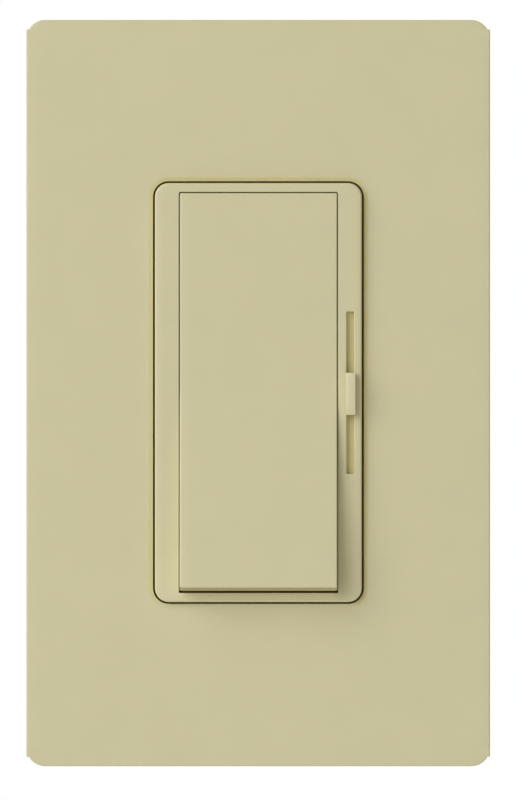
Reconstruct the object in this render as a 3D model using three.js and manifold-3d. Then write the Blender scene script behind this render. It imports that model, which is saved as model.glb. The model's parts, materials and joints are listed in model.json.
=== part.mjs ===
// A wall dimmer: a decorator-size paddle switch with a small slider beside it, under a
// screwless clip-on wallplate, with its yoke, rear housing, circuit and switch.
// Millimetres. X points right, Z up, the front faces -Y, and the wall surface is Y = 0.
// The origin is the centre of the device on the wall surface.

import * as THREE from "three";
import { mergeVertices, toCreasedNormals } from "three/addons/utils/BufferGeometryUtils.js";
import Module from "manifold-3d";

const wasm = await Module();
wasm.setup();

// ---------------------------------------------------------------- driving dimensions

const GAP = 0.3; // clearance between two pieces that meet
const BEYOND = 1; // how far a cutting body runs past the face that it cuts
const JOIN = 0.1; // how far two joined bodies run into each other

const PLATE = { width: 74, height: 119.1, depth: 7.6, corner: 3, innerCorner: 2, wall: 2, edge: 0.5 };
const OPENING = { width: 33.7, height: 67.5, corner: 2.5 };
const TOOTH = { x: 20, width: 5, reach: 1, back: -0.7, front: -1.7, play: 1 };

const ADAPTER = { width: 68.8, height: 113.9, corner: 2, front: -5.2, sheet: 1.2, rim: 1.2, back: -0.5 };
const ADAPTER_OPENING = { width: 34.4, height: 68.4, corner: 2.6 };
const ADAPTER_RIBS = { z: [-20, 20], thickness: 0.9 };
const ADAPTER_BOSS = 3.2;

const YOKE = { width: 44.4, height: 106.7, corner: 3, front: -1.6, back: -0.3 };
const YOKE_PAD = { x: 11.5, width: 7, height: 8 }; // raised pads that lie on the wall box's ears
const BEHIND_YOKE = YOKE.back + GAP;
const DEVICE_SCREW_Z = 41.65; // half of the 83.3 spacing of a wall box's ears
const DEVICE_SCREW_SLOT = { width: 7.4, height: 4.4, corner: 2.15 };
const PLATE_SCREW_Z = 48.4; // half of the 96.8 spacing of the adapter's screws

const THREAD = 1.75; // radius of a 6-32 thread
const THREAD_HOLE = THREAD + 0.25;
const DRIVER_SLOT = 0.9; // width and depth of the slot in a screw's head
const FLAT_HEAD = { radius: 3.3, rim: 0.25, depth: 1.8, length: 9.5, sunk: 0.05 };
const PAN_HEAD = { radius: 3.2, height: 1.8, length: 25.4 };
const RETAINER = { width: 10, height: 8, thickness: 0.8 };
const GROUND = { x: -14, z: -34.8, head: 2.7, headThickness: 2.6, shank: 1.8 };

const BEZEL = { width: 33, height: 66.85, corner: 2.2, front: -8.8, wall: 1.1, side: 0.9, end: 1, edge: 0.2 };
const BEZEL_BACK = YOKE.front - GAP;
const BEZEL_FLANGE = { reach: 0.4, corner: 2.4, front: -3.4 }; // closes the gap round the bezel from behind
const WINDOW = { width: 25.5, height: 64, z: 0.085 };
const CLIP = { x: 15.7, z: 22, width: 5, thickness: 0.7, hook: 0.8, back: 1.3 };

const PADDLE = { width: 25.06, top: 31.92, bottom: -31.47, crease: 0.4, rise: 4, back: -5 };
const PADDLE_SHELL = { wall: 1.4, side: 1.2, rounding: 0.75, topEdge: 0.2 };
const PADDLE_RIBS = { z: [-24, -10, 4, 16], thickness: 1 };
const PADDLE_FLANGE = { side: 0.42, end: 0.2, foot: 0.6, front: -7.4, back: -6.7 }; // behind the window
const PADDLE_POST = { width: 4.4, front: -10, play: 0.2 };
const HINGE_WEB = { back: -3.2, foot: 27.5, ramp: 1 }; // the taller stretch that carries the pins
const PIVOT = { y: -4.5, z: 30.5, radius: 0.9, reach: 1.9, root: 0.5, play: 0.12 };

const SLOT = { x: 14.7, width: 1.21, top: 12.99, bottom: -12.86 };
const KNOB = { x: 14.725, z: -0.11, width: 1.55, height: 6.7, front: -10.2, edge: 0.25, corner: 0.4 };
const KNOB_STANDOFF = 0.15; // between the knob's underside and the bezel
const STRIP = { left: 13.3, right: 15.45, length: 45.2, front: -7.5, back: -6.7 };
const FORK = { left: 13.5, right: 15.3, back: -3.9, inner: 1.5, outer: 2.6 };
const STEM = { width: 0.75, height: 5.5, back: -6.9, play: 0.15 };
const SLIDER_TRAVEL = 9.5;
const EAR = { front: STRIP.back + GAP, back: -3, bottom: 28.6, sideWallBottom: 28, sideWall: 0.6 };

const HOUSING = { width: 43, height: 63, corner: 3, innerCorner: 2, edge: 0.3, back: 30 };
const HOUSING_SHELL = { wall: 1.6, floor: 1.8 };
const HOUSING_SCREW = { x: 17.6, z: 27.6, head: 2.3, shank: 1.25, length: 31, headThickness: 1.4 };
const HOUSING_BOSS = { radius: 2.9, bore: 2.7, boreDepth: 2, play: 0.25 };
const HOUSING_SCREW_HOLE = HOUSING_SCREW.shank + HOUSING_BOSS.play;
const BOARD = { width: 37, height: 57, front: 9, thickness: 1.6, corner: 0.5 };
const BOARD_BACK = BOARD.front + BOARD.thickness;
const SOLDER_GAP = 0.15; // between a wire's end and the board

const POT = { x: 14.55, width: 7.9, length: 34, front: 1, back: 7.3, wall: 0.6 };
const LEVER = { x: 14.6, width: 1, height: 2.6, front: -5.9, play: 0.3, sidePlay: 0.5, endPlay: 0.6 };
const WIPER = { width: 5.8, height: 6.4, front: 2.2, back: 5.4 };
const WIPER_FINGER = { offset: 1.75, width: 0.8, height: 1.6, back: 7.4 };

const PLUNGER = { z: -18, radius: 2, head: 3.6, front: -8.1, headThickness: 0.9, back: 1.6, play: 0.4 };
const SPRING = { radius: 2.9, wire: 0.25, turns: 4.5, sides: 8, stepsPerTurn: 12, endGap: 0.15 };
const SWITCH_BASE = { width: 15, front: 3, floorFront: 7.7, bottom: -24, top: -8.5, wall: 1, wallHeight: 11 };
const ROCKER = { y: 5.4, length: 10, width: 9, front: -0.8, back: 0.5, tilt: 7 };
const ROCKER_PIN = { radius: 0.8, reach: 2.7, play: 0.2, sides: 12 };
const CONTACT = { z: -8.3, radius: 1.1, thickness: 0.6, sides: 16 };
const CONTACT_ARM = { thickness: 0.4, width: 4, hold: 3, overhang: 1.5, play: 0.2 };
const FIXED_ARM = { front: 8.15, width: 3.6, bottom: -29, top: -24.6, foot: 0.7 };
const FIXED_TIP = { lift: 0.3, front: 0.5, back: 0.1 };

const TRIAC = { x: -6, front: 1.1, width: 10.2, body: 9.2, tab: 6.3, bottom: 6, depth: 4.5, tabDepth: 1.3 };
const TRIAC_LEG = { pitch: 2.54, width: 0.8, thickness: 0.5, front: 3.3, bottom: 3.2 };
const INSULATOR = { width: 14, thickness: 0.5, margin: 1.5 };
const RIVET = { z: 18.7, head: 2.7, crown: 1.9, shank: 1.35, headThickness: 0.8 };
const CHOKE = { x: -3, z: -15, inner: 4.8, outer: 8.4, height: 6, wire: 0.6, gap: 3.6, standoff: 0.4 };
const CAPACITOR_LEG = { place: 0.36, width: 0.7, standoff: 0.6 };
const WIRE_LEG = { width: 0.6, reach: 1.2, bend: 0.9, standoff: 0.5 };

const RECESS = { inner: 16, front: 14, back: 23.4, half: 4.7, wall: 1.6 };
const LEG_HOLE = { left: 15.9, right: 17.5, height: 3.6, depth: 2 };
const TERMINALS = [
  { name: "line", side: -1, z: 16 },
  { name: "load", side: -1, z: -2 },
  { name: "traveller", side: 1, z: 7 },
];
const TERMINAL = { y: 18.7, screw: 1.5, play: 0.25, bore: 1.85, head: 3.3, headThickness: 1.8 };
const TERMINAL_SCREW_LENGTH = 6.4;
const TERMINAL_PLATE = { inner: 16.3, outer: 17.3, front: 14.6, back: 22.8, height: 8.4, leg: 3 };
const TERMINAL_CLAMP = { inner: 18.4, outer: 19.3, front: 15, back: 22.4, height: 7.6, lip: 0.8 };

const COLOURS = {
  ivory: { color: 0xd9d2ac, roughness: 0.42, metalness: 0 },
  ivoryInner: { color: 0xcfc8a2, roughness: 0.5, metalness: 0 },
  greyPlastic: { color: 0x3a3b3e, roughness: 0.6, metalness: 0 },
  darkPlastic: { color: 0x1d1e20, roughness: 0.5, metalness: 0 },
  whitePlastic: { color: 0xe6e4dc, roughness: 0.5, metalness: 0 },
  aluminium: { color: 0xb9bbbd, roughness: 0.38, metalness: 1 },
  zincSteel: { color: 0xc2c3c0, roughness: 0.3, metalness: 1 },
  tinnedSteel: { color: 0xb5b8ba, roughness: 0.35, metalness: 1 },
  brass: { color: 0xc9a545, roughness: 0.33, metalness: 1 },
  silver: { color: 0xdcdcd8, roughness: 0.25, metalness: 1 },
  copper: { color: 0xa8572c, roughness: 0.35, metalness: 1 },
  ferrite: { color: 0x2f3133, roughness: 0.7, metalness: 0.1 },
  fibre: { color: 0x8a2f24, roughness: 0.8, metalness: 0 },
  board: { color: 0xa98a52, roughness: 0.6, metalness: 0 },
  mica: { color: 0xd8d6cc, roughness: 0.5, metalness: 0 },
  green: { color: 0x2d7a45, roughness: 0.4, metalness: 0.6 },
  filmBox: { color: 0xb8472a, roughness: 0.45, metalness: 0 },
  resistor: { color: 0xc8a777, roughness: 0.55, metalness: 0 },
  glass: { color: 0xb9563a, roughness: 0.2, metalness: 0 },
};

const CREASE_ANGLE = THREE.MathUtils.degToRad(30);
const HALF_TURN = Math.PI;
const QUARTER_TURN = Math.PI / 2;

// ---------------------------------------------------------------- solids and meshes

function solidOf(geometry) {
  const bare = geometry.clone();
  bare.deleteAttribute("normal");
  bare.deleteAttribute("uv");
  const merged = mergeVertices(bare, 1e-4);
  const vertProperties = merged.attributes.position.array;
  const triVerts = Uint32Array.from(merged.index.array);
  return new wasm.Manifold(new wasm.Mesh({ numProp: 3, vertProperties, triVerts }));
}

function geometryOf(solid) {
  const { vertProperties, triVerts } = solid.getMesh();
  const geometry = new THREE.BufferGeometry();
  geometry.setAttribute("position", new THREE.BufferAttribute(vertProperties, 3));
  geometry.setIndex(new THREE.BufferAttribute(triVerts, 1));
  return toCreasedNormals(geometry, CREASE_ANGLE);
}

function piece(name, solid, colour) {
  const material = new THREE.MeshStandardMaterial(COLOURS[colour]);
  const mesh = new THREE.Mesh(geometryOf(solid), material);
  mesh.name = name;
  return mesh;
}

function union(first, ...others) {
  return others.reduce((sum, solid) => sum.add(solid), first);
}

function cut(first, ...others) {
  return others.reduce((rest, solid) => rest.subtract(solid), first);
}

// A box between two limits on each axis.
function box([x0, x1], [y0, y1], [z0, z1]) {
  const geometry = new THREE.BoxGeometry(x1 - x0, y1 - y0, z1 - z0);
  geometry.translate((x0 + x1) / 2, (y0 + y1) / 2, (z0 + z1) / 2);
  return solidOf(geometry);
}

// A round rod along Y.
function rodY(radius, [y0, y1], x = 0, z = 0, sides = 20) {
  const geometry = new THREE.CylinderGeometry(radius, radius, y1 - y0, sides);
  geometry.translate(x, (y0 + y1) / 2, z);
  return solidOf(geometry);
}

// A round rod along X.
function rodX(radius, [x0, x1], y = 0, z = 0, sides = 16) {
  const geometry = new THREE.CylinderGeometry(radius, radius, x1 - x0, sides);
  geometry.rotateZ(QUARTER_TURN);
  geometry.translate((x0 + x1) / 2, y, z);
  return solidOf(geometry);
}

// A body turned about Y, from pairs of radius and Y that start and end on the axis.
function turned(profile, sides = 20) {
  const points = profile.map(([radius, y]) => new THREE.Vector2(radius, y));
  return solidOf(new THREE.LatheGeometry(points, sides));
}

function roundedRect(width, height, corner, x = 0, z = 0) {
  const right = width / 2 - corner;
  const top = height / 2 - corner;
  const shape = new THREE.Shape();
  shape.absarc(x + right, z + top, corner, 0, QUARTER_TURN);
  shape.absarc(x - right, z + top, corner, QUARTER_TURN, HALF_TURN);
  shape.absarc(x - right, z - top, corner, HALF_TURN, 3 * QUARTER_TURN);
  shape.absarc(x + right, z - top, corner, 3 * QUARTER_TURN, 2 * HALF_TURN);
  shape.closePath();
  return shape;
}

// A full circle in three arcs, because each arc gets the same few segments.
function circle(radius, x, z) {
  const path = new THREE.Path();
  const third = (2 * HALF_TURN) / 3;
  for (let arc = 0; arc < 3; arc += 1) {
    path.absarc(x, z, radius, arc * third, (arc + 1) * third);
  }
  return path;
}

// An XZ outline run along Y from front to back, with an optional bevel on both faces.
function slab(shape, [front, back], bevel = 0, curveSegments = 3) {
  const geometry = new THREE.ExtrudeGeometry(shape, {
    depth: back - front - 2 * bevel,
    curveSegments,
    bevelEnabled: bevel > 0,
    bevelThickness: bevel,
    bevelSize: bevel,
    bevelOffset: -bevel,
    bevelSegments: 1,
  });
  geometry.rotateX(QUARTER_TURN);
  geometry.translate(0, back - bevel, 0);
  return solidOf(geometry);
}

// A YZ outline run along X.
function run(shape, [x0, x1], curveSegments = 3) {
  const geometry = new THREE.ExtrudeGeometry(shape, {
    depth: x1 - x0,
    curveSegments,
    bevelEnabled: false,
  });
  const toYZ = new THREE.Matrix4().makeBasis(
    new THREE.Vector3(0, 1, 0),
    new THREE.Vector3(0, 0, 1),
    new THREE.Vector3(1, 0, 0),
  );
  geometry.applyMatrix4(toYZ);
  geometry.translate(x0, 0, 0);
  return solidOf(geometry);
}

const around = (centre, half) => [centre - half, centre + half];

// Two limits in rising order.
const span = (one, other) => [Math.min(one, other), Math.max(one, other)];

// ---------------------------------------------------------------- wallplate and adapter

function wallplate() {
  const outline = roundedRect(PLATE.width, PLATE.height, PLATE.corner);
  outline.holes.push(roundedRect(OPENING.width, OPENING.height, OPENING.corner));
  const block = slab(outline, [-PLATE.depth, BEYOND], PLATE.edge);
  const behindWall = box(around(0, PLATE.width), [0, 2 * BEYOND], around(0, PLATE.height));
  const inside = roundedRect(
    PLATE.width - 2 * PLATE.wall,
    PLATE.height - 2 * PLATE.wall,
    PLATE.innerCorner,
  );
  const hollow = slab(inside, [-PLATE.depth + PLATE.wall, BEYOND]);
  const shell = cut(block, behindWall, hollow);
  return piece("wallplate", union(shell, ...clipTeeth()), "ivory");
}

// Four teeth inside the top and bottom walls, which clip behind the adapter's edge.
function clipTeeth() {
  const root = PLATE.height / 2 - PLATE.wall;
  const teeth = [];
  for (const x of [-TOOTH.x, TOOTH.x]) {
    for (const up of [-1, 1]) {
      const reach = span(up * (root - TOOTH.reach), up * (root + PLATE.wall / 2));
      teeth.push(box(around(x, TOOTH.width / 2), [TOOTH.front, TOOTH.back], reach));
    }
  }
  return teeth;
}

function adapterPlate() {
  const sheetBack = ADAPTER.front + ADAPTER.sheet;
  const outline = roundedRect(ADAPTER.width, ADAPTER.height, ADAPTER.corner);
  outline.holes.push(
    roundedRect(ADAPTER_OPENING.width, ADAPTER_OPENING.height, ADAPTER_OPENING.corner),
  );
  const sheet = slab(outline, [ADAPTER.front, sheetBack]);
  const outerRim = ring(ADAPTER, -ADAPTER.rim, [sheetBack - JOIN, ADAPTER.back]);
  const innerRim = ring(ADAPTER_OPENING, ADAPTER.rim, [sheetBack - JOIN, BEZEL_BACK]);
  const parts = [outerRim, innerRim, ...adapterRibs(sheetBack)];
  for (const z of [-PLATE_SCREW_Z, PLATE_SCREW_Z]) {
    parts.push(rodY(ADAPTER_BOSS, [sheetBack - JOIN, BEZEL_BACK], 0, z));
  }
  const holes = [-PLATE_SCREW_Z, PLATE_SCREW_Z].map((z) => flatHeadSeat(z));
  return piece("adapter_plate", cut(union(sheet, ...parts), ...holes, ...toothNotches()), "ivoryInner");
}

// A wall of the outline's own shape, inside it for a negative thickness, outside for a positive one.
function ring({ width, height, corner }, thickness, depth) {
  const grown = roundedRect(width + 2 * thickness, height + 2 * thickness, corner + thickness / 2);
  const own = roundedRect(width, height, corner);
  const [outer, inner] = thickness > 0 ? [grown, own] : [own, grown];
  outer.holes.push(inner);
  return slab(outer, depth);
}

function adapterRibs(sheetBack) {
  const from = ADAPTER_OPENING.width / 2 + ADAPTER.rim / 2;
  const to = ADAPTER.width / 2 - ADAPTER.rim / 2;
  const ribs = [];
  for (const z of ADAPTER_RIBS.z) {
    for (const x of [[-to, -from], [from, to]]) {
      ribs.push(box(x, [sheetBack - JOIN, BEZEL_BACK], around(z, ADAPTER_RIBS.thickness / 2)));
    }
  }
  return ribs;
}

// The countersunk hole under a flat-head screw, open to the front.
function flatHeadSeat(z) {
  const mouth = FLAT_HEAD.radius + GAP;
  const seat = turned([
    [0, ADAPTER.front - BEYOND],
    [mouth, ADAPTER.front - BEYOND],
    [mouth, ADAPTER.front],
    [THREAD_HOLE, ADAPTER.front + FLAT_HEAD.depth + JOIN],
    [THREAD_HOLE, 0],
    [0, 0],
  ]);
  return seat.translate([0, 0, z]);
}

function toothNotches() {
  const edge = ADAPTER.height / 2;
  const depth = edge - (PLATE.height / 2 - PLATE.wall - TOOTH.reach) + GAP;
  const notches = [];
  for (const x of [-TOOTH.x, TOOTH.x]) {
    for (const z of [[-edge - BEYOND, depth - edge], [edge - depth, edge + BEYOND]]) {
      notches.push(box(around(x, TOOTH.width / 2 + TOOTH.play), [ADAPTER.front - BEYOND, 0], z));
    }
  }
  return notches;
}

// ---------------------------------------------------------------- screws

// A screw along +Y with its head's outer face at y = 0. The head's profile is given as radius, y.
function screw(headProfile, shank, length, sides = 20) {
  const headBack = headProfile.at(-1)[1];
  const body = turned([
    [0, 0],
    ...headProfile,
    [shank, headBack],
    [shank, length - shank],
    [shank / 2, length],
    [0, length],
  ], sides);
  const reach = 2 * headProfile[0][0];
  return cut(body, box(around(0, reach), [-BEYOND, DRIVER_SLOT], around(0, DRIVER_SLOT / 2)));
}

function adapterScrews() {
  const { radius, rim, depth, length, sunk } = FLAT_HEAD;
  const head = [[radius, 0], [radius, rim], [THREAD, depth]];
  return [["upper", PLATE_SCREW_Z], ["lower", -PLATE_SCREW_Z]].map(([end, z]) => {
    const mesh = piece(`adapter_screw_${end}`, screw(head, THREAD, length), "zincSteel");
    mesh.position.set(0, ADAPTER.front + sunk, z);
    return mesh;
  });
}

function mountingScrews() {
  const { radius, height, length } = PAN_HEAD;
  const head = [[0.7 * radius, 0], [0.9 * radius, 0.2 * height], [radius, 0.6 * height], [radius, height]];
  const meshes = [];
  for (const [end, z] of [["upper", DEVICE_SCREW_Z], ["lower", -DEVICE_SCREW_Z]]) {
    const mesh = piece(`mounting_screw_${end}`, screw(head, THREAD, length), "zincSteel");
    mesh.position.set(0, YOKE.front - GAP - height, z);
    meshes.push(mesh, piece(`screw_retainer_${end}`, retainer(z), "fibre"));
  }
  return meshes;
}

// The fibre washer behind the yoke that keeps a mounting screw captive.
function retainer(z) {
  return cut(
    box(
      around(0, RETAINER.width / 2),
      [BEHIND_YOKE, BEHIND_YOKE + RETAINER.thickness],
      around(z, RETAINER.height / 2),
    ),
    rodY(THREAD_HOLE, [BEHIND_YOKE - BEYOND, BEHIND_YOKE + 2 * BEYOND], 0, z),
  );
}

function groundScrew() {
  const { x, z, head, headThickness, shank } = GROUND;
  const hexHead = turned([
    [0, 0],
    [head - GAP, 0],
    [head, GAP],
    [head, headThickness],
    [THREAD, headThickness],
    [THREAD, headThickness + shank],
    [0, headThickness + shank],
  ], 6);
  const slot = box(around(0, head + BEYOND), [-BEYOND, DRIVER_SLOT], around(0, DRIVER_SLOT / 2));
  const mesh = piece("ground_screw", cut(hexHead, slot), "green");
  mesh.rotation.x = HALF_TURN;
  mesh.position.set(x, BEHIND_YOKE + headThickness, z);
  return mesh;
}

// ---------------------------------------------------------------- yoke

function yoke() {
  const outline = roundedRect(YOKE.width, YOKE.height, YOKE.corner);
  const pads = [];
  for (const z of [-1, 1]) {
    const { width, height, corner } = DEVICE_SCREW_SLOT;
    outline.holes.push(roundedRect(width, height, corner, 0, z * DEVICE_SCREW_Z));
    outline.holes.push(circle(THREAD_HOLE, 0, z * PLATE_SCREW_Z));
    for (const x of [-1, 1]) {
      outline.holes.push(circle(HOUSING_SCREW_HOLE, x * HOUSING_SCREW.x, z * HOUSING_SCREW.z));
      outline.holes.push(clipSlot(x, z));
      pads.push(box(
        around(x * YOKE_PAD.x, YOKE_PAD.width / 2),
        [YOKE.back - JOIN, 0],
        around(z * DEVICE_SCREW_Z, YOKE_PAD.height / 2),
      ));
    }
  }
  outline.holes.push(circle(PLUNGER.radius + PLUNGER.play, 0, PLUNGER.z));
  outline.holes.push(circle(RIVET.shank + GAP, TRIAC.x, RIVET.z));
  outline.holes.push(circle(THREAD_HOLE, GROUND.x, GROUND.z));
  const leverSlot = LEVER.width + 2 * LEVER.sidePlay;
  const leverRun = 2 * (SLIDER_TRAVEL + LEVER.height / 2 + LEVER.sidePlay);
  outline.holes.push(roundedRect(leverSlot, leverRun, leverSlot / 2 - JOIN, LEVER.x, KNOB.z));
  return piece("yoke", union(slab(outline, [YOKE.front, YOKE.back]), ...pads), "aluminium");
}

function clipSlot(x, z) {
  const centre = x * (CLIP.x + CLIP.thickness / 2);
  return roundedRect(CLIP.thickness + 2 * GAP, CLIP.width + 2 * GAP, GAP, centre, z * CLIP.z);
}

// ---------------------------------------------------------------- bezel and paddle

function faceBezel() {
  const outline = roundedRect(BEZEL.width, BEZEL.height, BEZEL.corner);
  const block = slab(outline, [BEZEL.front, BEZEL_BACK], BEZEL.edge);
  const { reach, corner, front } = BEZEL_FLANGE;
  const flangeOutline = roundedRect(BEZEL.width + 2 * reach, BEZEL.height + 2 * reach, corner);
  const flange = slab(flangeOutline, [front, BEZEL_BACK]);
  const inner = { x: BEZEL.width / 2 - BEZEL.side, z: BEZEL.height / 2 - BEZEL.end };
  const wallBack = BEZEL.front + BEZEL.wall;
  const hollow = box(around(0, inner.x), [wallBack, 0], around(0, inner.z));
  const window = box(
    around(0, WINDOW.width / 2),
    [BEZEL.front - BEYOND, 0],
    around(WINDOW.z, WINDOW.height / 2),
  );
  const slot = box(
    around(SLOT.x, SLOT.width / 2),
    [BEZEL.front - BEYOND, wallBack + BEYOND],
    [SLOT.bottom, SLOT.top],
  );
  const frame = cut(union(block, flange), hollow, window, slot);
  return piece("face_bezel", union(frame, ...trunnionEars(inner), ...hookClips()), "ivory");
}

// Two ears at the top of the bezel, each with a slot, open to the back, for a paddle pin.
function trunnionEars(inner) {
  const face = PADDLE.width / 2 + GAP;
  const pinHole = PIVOT.radius + PIVOT.play;
  return [-1, 1].map((side) => {
    const x = span(side * face, side * (inner.x + JOIN));
    const through = [x[0] - BEYOND, x[1] + BEYOND];
    const ear = box(x, [EAR.front, EAR.back], [EAR.bottom, inner.z + JOIN]);
    const seat = rodX(pinHole, through, PIVOT.y, PIVOT.z);
    const mouth = box(through, [PIVOT.y, 0], around(PIVOT.z, pinHole));
    const sideWall = box(
      span(side * (BEZEL.width / 2 - EAR.sideWall), (side * BEZEL.width) / 2),
      [STRIP.back, BEZEL_BACK],
      [EAR.sideWallBottom, inner.z],
    );
    return union(cut(ear, seat, mouth), sideWall);
  });
}

// Four clips that pass through the yoke and hook behind it.
function hookClips() {
  const clips = [];
  const outer = CLIP.x + CLIP.thickness;
  for (const side of [-1, 1]) {
    const blade = span(side * CLIP.x, side * outer);
    const hook = span(side * (outer - JOIN), side * (outer + CLIP.hook));
    for (const z of [-CLIP.z, CLIP.z]) {
      const height = around(z, CLIP.width / 2);
      clips.push(box(blade, [BEZEL_BACK - JOIN, CLIP.back], height));
      clips.push(box(hook, [BEHIND_YOKE, CLIP.back], height));
    }
  }
  return clips;
}

// Side view of the paddle: flush with the bezel above the crease, sloping out below it.
// With an inset it is the outline of the hollow, which is open to the back.
function paddleProfile(inset) {
  const { rounding, topEdge } = PADDLE_SHELL;
  const front = BEZEL.front + inset;
  const slope = Math.atan2(PADDLE.rise, PADDLE.crease - PADDLE.bottom);
  const top = PADDLE.top - inset;
  const bottom = PADDLE.bottom + inset;
  const faceY = front - (PADDLE.crease - bottom - rounding) * Math.tan(slope);
  const centreY = faceY + rounding / Math.cos(slope);
  const shape = new THREE.Shape();
  shape.moveTo(inset > 0 ? 0 : PADDLE.back, bottom);
  shape.lineTo(centreY, bottom);
  shape.absarc(centreY, bottom + rounding, rounding, -QUARTER_TURN, -HALF_TURN - slope, true);
  shape.lineTo(front, PADDLE.crease);
  shape.lineTo(front, top - topEdge);
  shape.lineTo(front + topEdge, top);
  if (inset > 0) {
    shape.lineTo(0, top);
  } else {
    shape.lineTo(HINGE_WEB.back, top);
    shape.lineTo(HINGE_WEB.back, HINGE_WEB.foot);
    shape.lineTo(PADDLE.back, HINGE_WEB.foot - HINGE_WEB.ramp);
  }
  shape.closePath();
  return shape;
}

function paddle() {
  const half = PADDLE.width / 2;
  const skin = run(paddleProfile(0), around(0, half));
  const flange = box(
    around(0, half + PADDLE_FLANGE.side),
    [PADDLE_FLANGE.front, PADDLE_FLANGE.back],
    [PADDLE.bottom - PADDLE_FLANGE.foot, PADDLE.top + PADDLE_FLANGE.end],
  );
  const hollow = run(paddleProfile(PADDLE_SHELL.wall), around(0, half - PADDLE_SHELL.side));
  const pins = [-1, 1].map((side) => {
    const x = span(side * (half - PIVOT.root), side * (half + PIVOT.reach));
    return rodX(PIVOT.radius, x, PIVOT.y, PIVOT.z);
  });
  const post = box(
    around(0, PADDLE_POST.width / 2),
    [PADDLE_POST.front, PLUNGER.front - PADDLE_POST.play],
    around(PLUNGER.z, PADDLE_POST.width / 2),
  );
  const ribs = PADDLE_RIBS.z.map((z) =>
    box(
      around(0, half - PADDLE_SHELL.side / 2),
      [BEZEL.front + PADDLE_SHELL.wall / 2, PADDLE.back - 1],
      around(z, PADDLE_RIBS.thickness / 2),
    ),
  );
  return piece("paddle", union(cut(union(skin, flange), hollow), ...pins, post, ...ribs), "ivory");
}

// ---------------------------------------------------------------- slider

function sliderKnob() {
  const cap = slab(
    roundedRect(KNOB.width, KNOB.height, KNOB.corner, KNOB.x, KNOB.z),
    [KNOB.front, BEZEL.front - KNOB_STANDOFF],
    KNOB.edge,
    2,
  );
  const stem = box(
    around(SLOT.x, STEM.width / 2),
    [BEZEL.front - 2 * KNOB_STANDOFF, STEM.back],
    around(KNOB.z, STEM.height / 2),
  );
  return piece("slider_knob", union(cap, stem), "ivory");
}

// The strip that closes the slot from behind, with a fork for the potentiometer's lever.
function sliderCarriage() {
  const strip = box(
    [STRIP.left, STRIP.right],
    [STRIP.front, STRIP.back],
    around(KNOB.z, STRIP.length / 2),
  );
  const stemHole = box(
    around(SLOT.x, STEM.width / 2 + STEM.play),
    [STRIP.front - BEYOND, STRIP.back - JOIN],
    around(KNOB.z, STEM.height / 2 + STEM.play),
  );
  const prongs = [-1, 1].map((side) => {
    const z = span(KNOB.z + side * FORK.inner, KNOB.z + side * FORK.outer);
    return box([FORK.left, FORK.right], [STRIP.back - JOIN, FORK.back], z);
  });
  return piece("slider_carriage", union(cut(strip, stemHole), ...prongs), "ivoryInner");
}

function potentiometer() {
  return [
    piece("pot_frame", potCan(), "tinnedSteel"),
    piece("pot_track_board", trackBoard(), "board"),
    piece("pot_wiper", potWiper(), "whitePlastic"),
  ];
}

function potCan() {
  const half = POT.width / 2;
  const leverRun = SLIDER_TRAVEL + LEVER.height / 2 + LEVER.endPlay;
  return cut(
    box(around(POT.x, half), [POT.front, POT.back], around(0, POT.length / 2)),
    box(
      around(POT.x, half - POT.wall),
      [POT.front + POT.wall, POT.back + BEYOND],
      around(0, POT.length / 2 - POT.wall),
    ),
    box(
      around(LEVER.x, LEVER.width / 2 + LEVER.play),
      [POT.front - BEYOND, POT.front + BEYOND],
      around(KNOB.z, leverRun),
    ),
  );
}

function trackBoard() {
  return box(
    around(POT.x, POT.width / 2),
    [POT.back + GAP, BOARD.front - GAP],
    around(0, POT.length / 2),
  );
}

function potWiper() {
  const block = box(
    around(POT.x, WIPER.width / 2),
    [WIPER.front, WIPER.back],
    around(KNOB.z, WIPER.height / 2),
  );
  const lever = box(
    around(LEVER.x, LEVER.width / 2),
    [LEVER.front, WIPER.front + JOIN],
    around(KNOB.z, LEVER.height / 2),
  );
  const fingers = [-1, 1].map((side) =>
    box(
      around(POT.x + side * WIPER_FINGER.offset, WIPER_FINGER.width / 2),
      [WIPER.back - JOIN, WIPER_FINGER.back],
      around(KNOB.z, WIPER_FINGER.height / 2),
    ),
  );
  return union(block, lever, ...fingers);
}

// ---------------------------------------------------------------- plunger, spring and switch

function switchPlunger() {
  const headBack = PLUNGER.front + PLUNGER.headThickness;
  const edge = 0.3;
  const tip = 0.5;
  const body = turned([
    [0, PLUNGER.front],
    [PLUNGER.head - edge, PLUNGER.front],
    [PLUNGER.head, PLUNGER.front + edge],
    [PLUNGER.head, headBack],
    [PLUNGER.radius, headBack],
    [PLUNGER.radius, PLUNGER.back - tip],
    [PLUNGER.radius - tip, PLUNGER.back],
    [0, PLUNGER.back],
  ]);
  return piece("switch_plunger", body.translate([0, 0, PLUNGER.z]), "whitePlastic");
}

class Helix extends THREE.Curve {
  constructor(radius, turns, y0, y1) {
    super();
    Object.assign(this, { radius, turns, y0, y1 });
  }

  getPoint(t, target = new THREE.Vector3()) {
    const angle = 2 * HALF_TURN * this.turns * t;
    const y = THREE.MathUtils.lerp(this.y0, this.y1, t);
    return target.set(this.radius * Math.cos(angle), y, this.radius * Math.sin(angle));
  }
}

function returnSpring() {
  const start = PLUNGER.front + PLUNGER.headThickness + SPRING.wire + SPRING.endGap;
  const end = YOKE.front - SPRING.wire - SPRING.endGap;
  const section = new THREE.Shape();
  section.absarc(0, 0, SPRING.wire, 0, 2 * HALF_TURN);
  const geometry = new THREE.ExtrudeGeometry(section, {
    steps: Math.round(SPRING.turns * SPRING.stepsPerTurn),
    curveSegments: SPRING.sides / 2,
    bevelEnabled: false,
    extrudePath: new Helix(SPRING.radius, SPRING.turns, start, end),
  });
  return piece("paddle_return_spring", solidOf(geometry).translate([0, 0, PLUNGER.z]), "silver");
}

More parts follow.
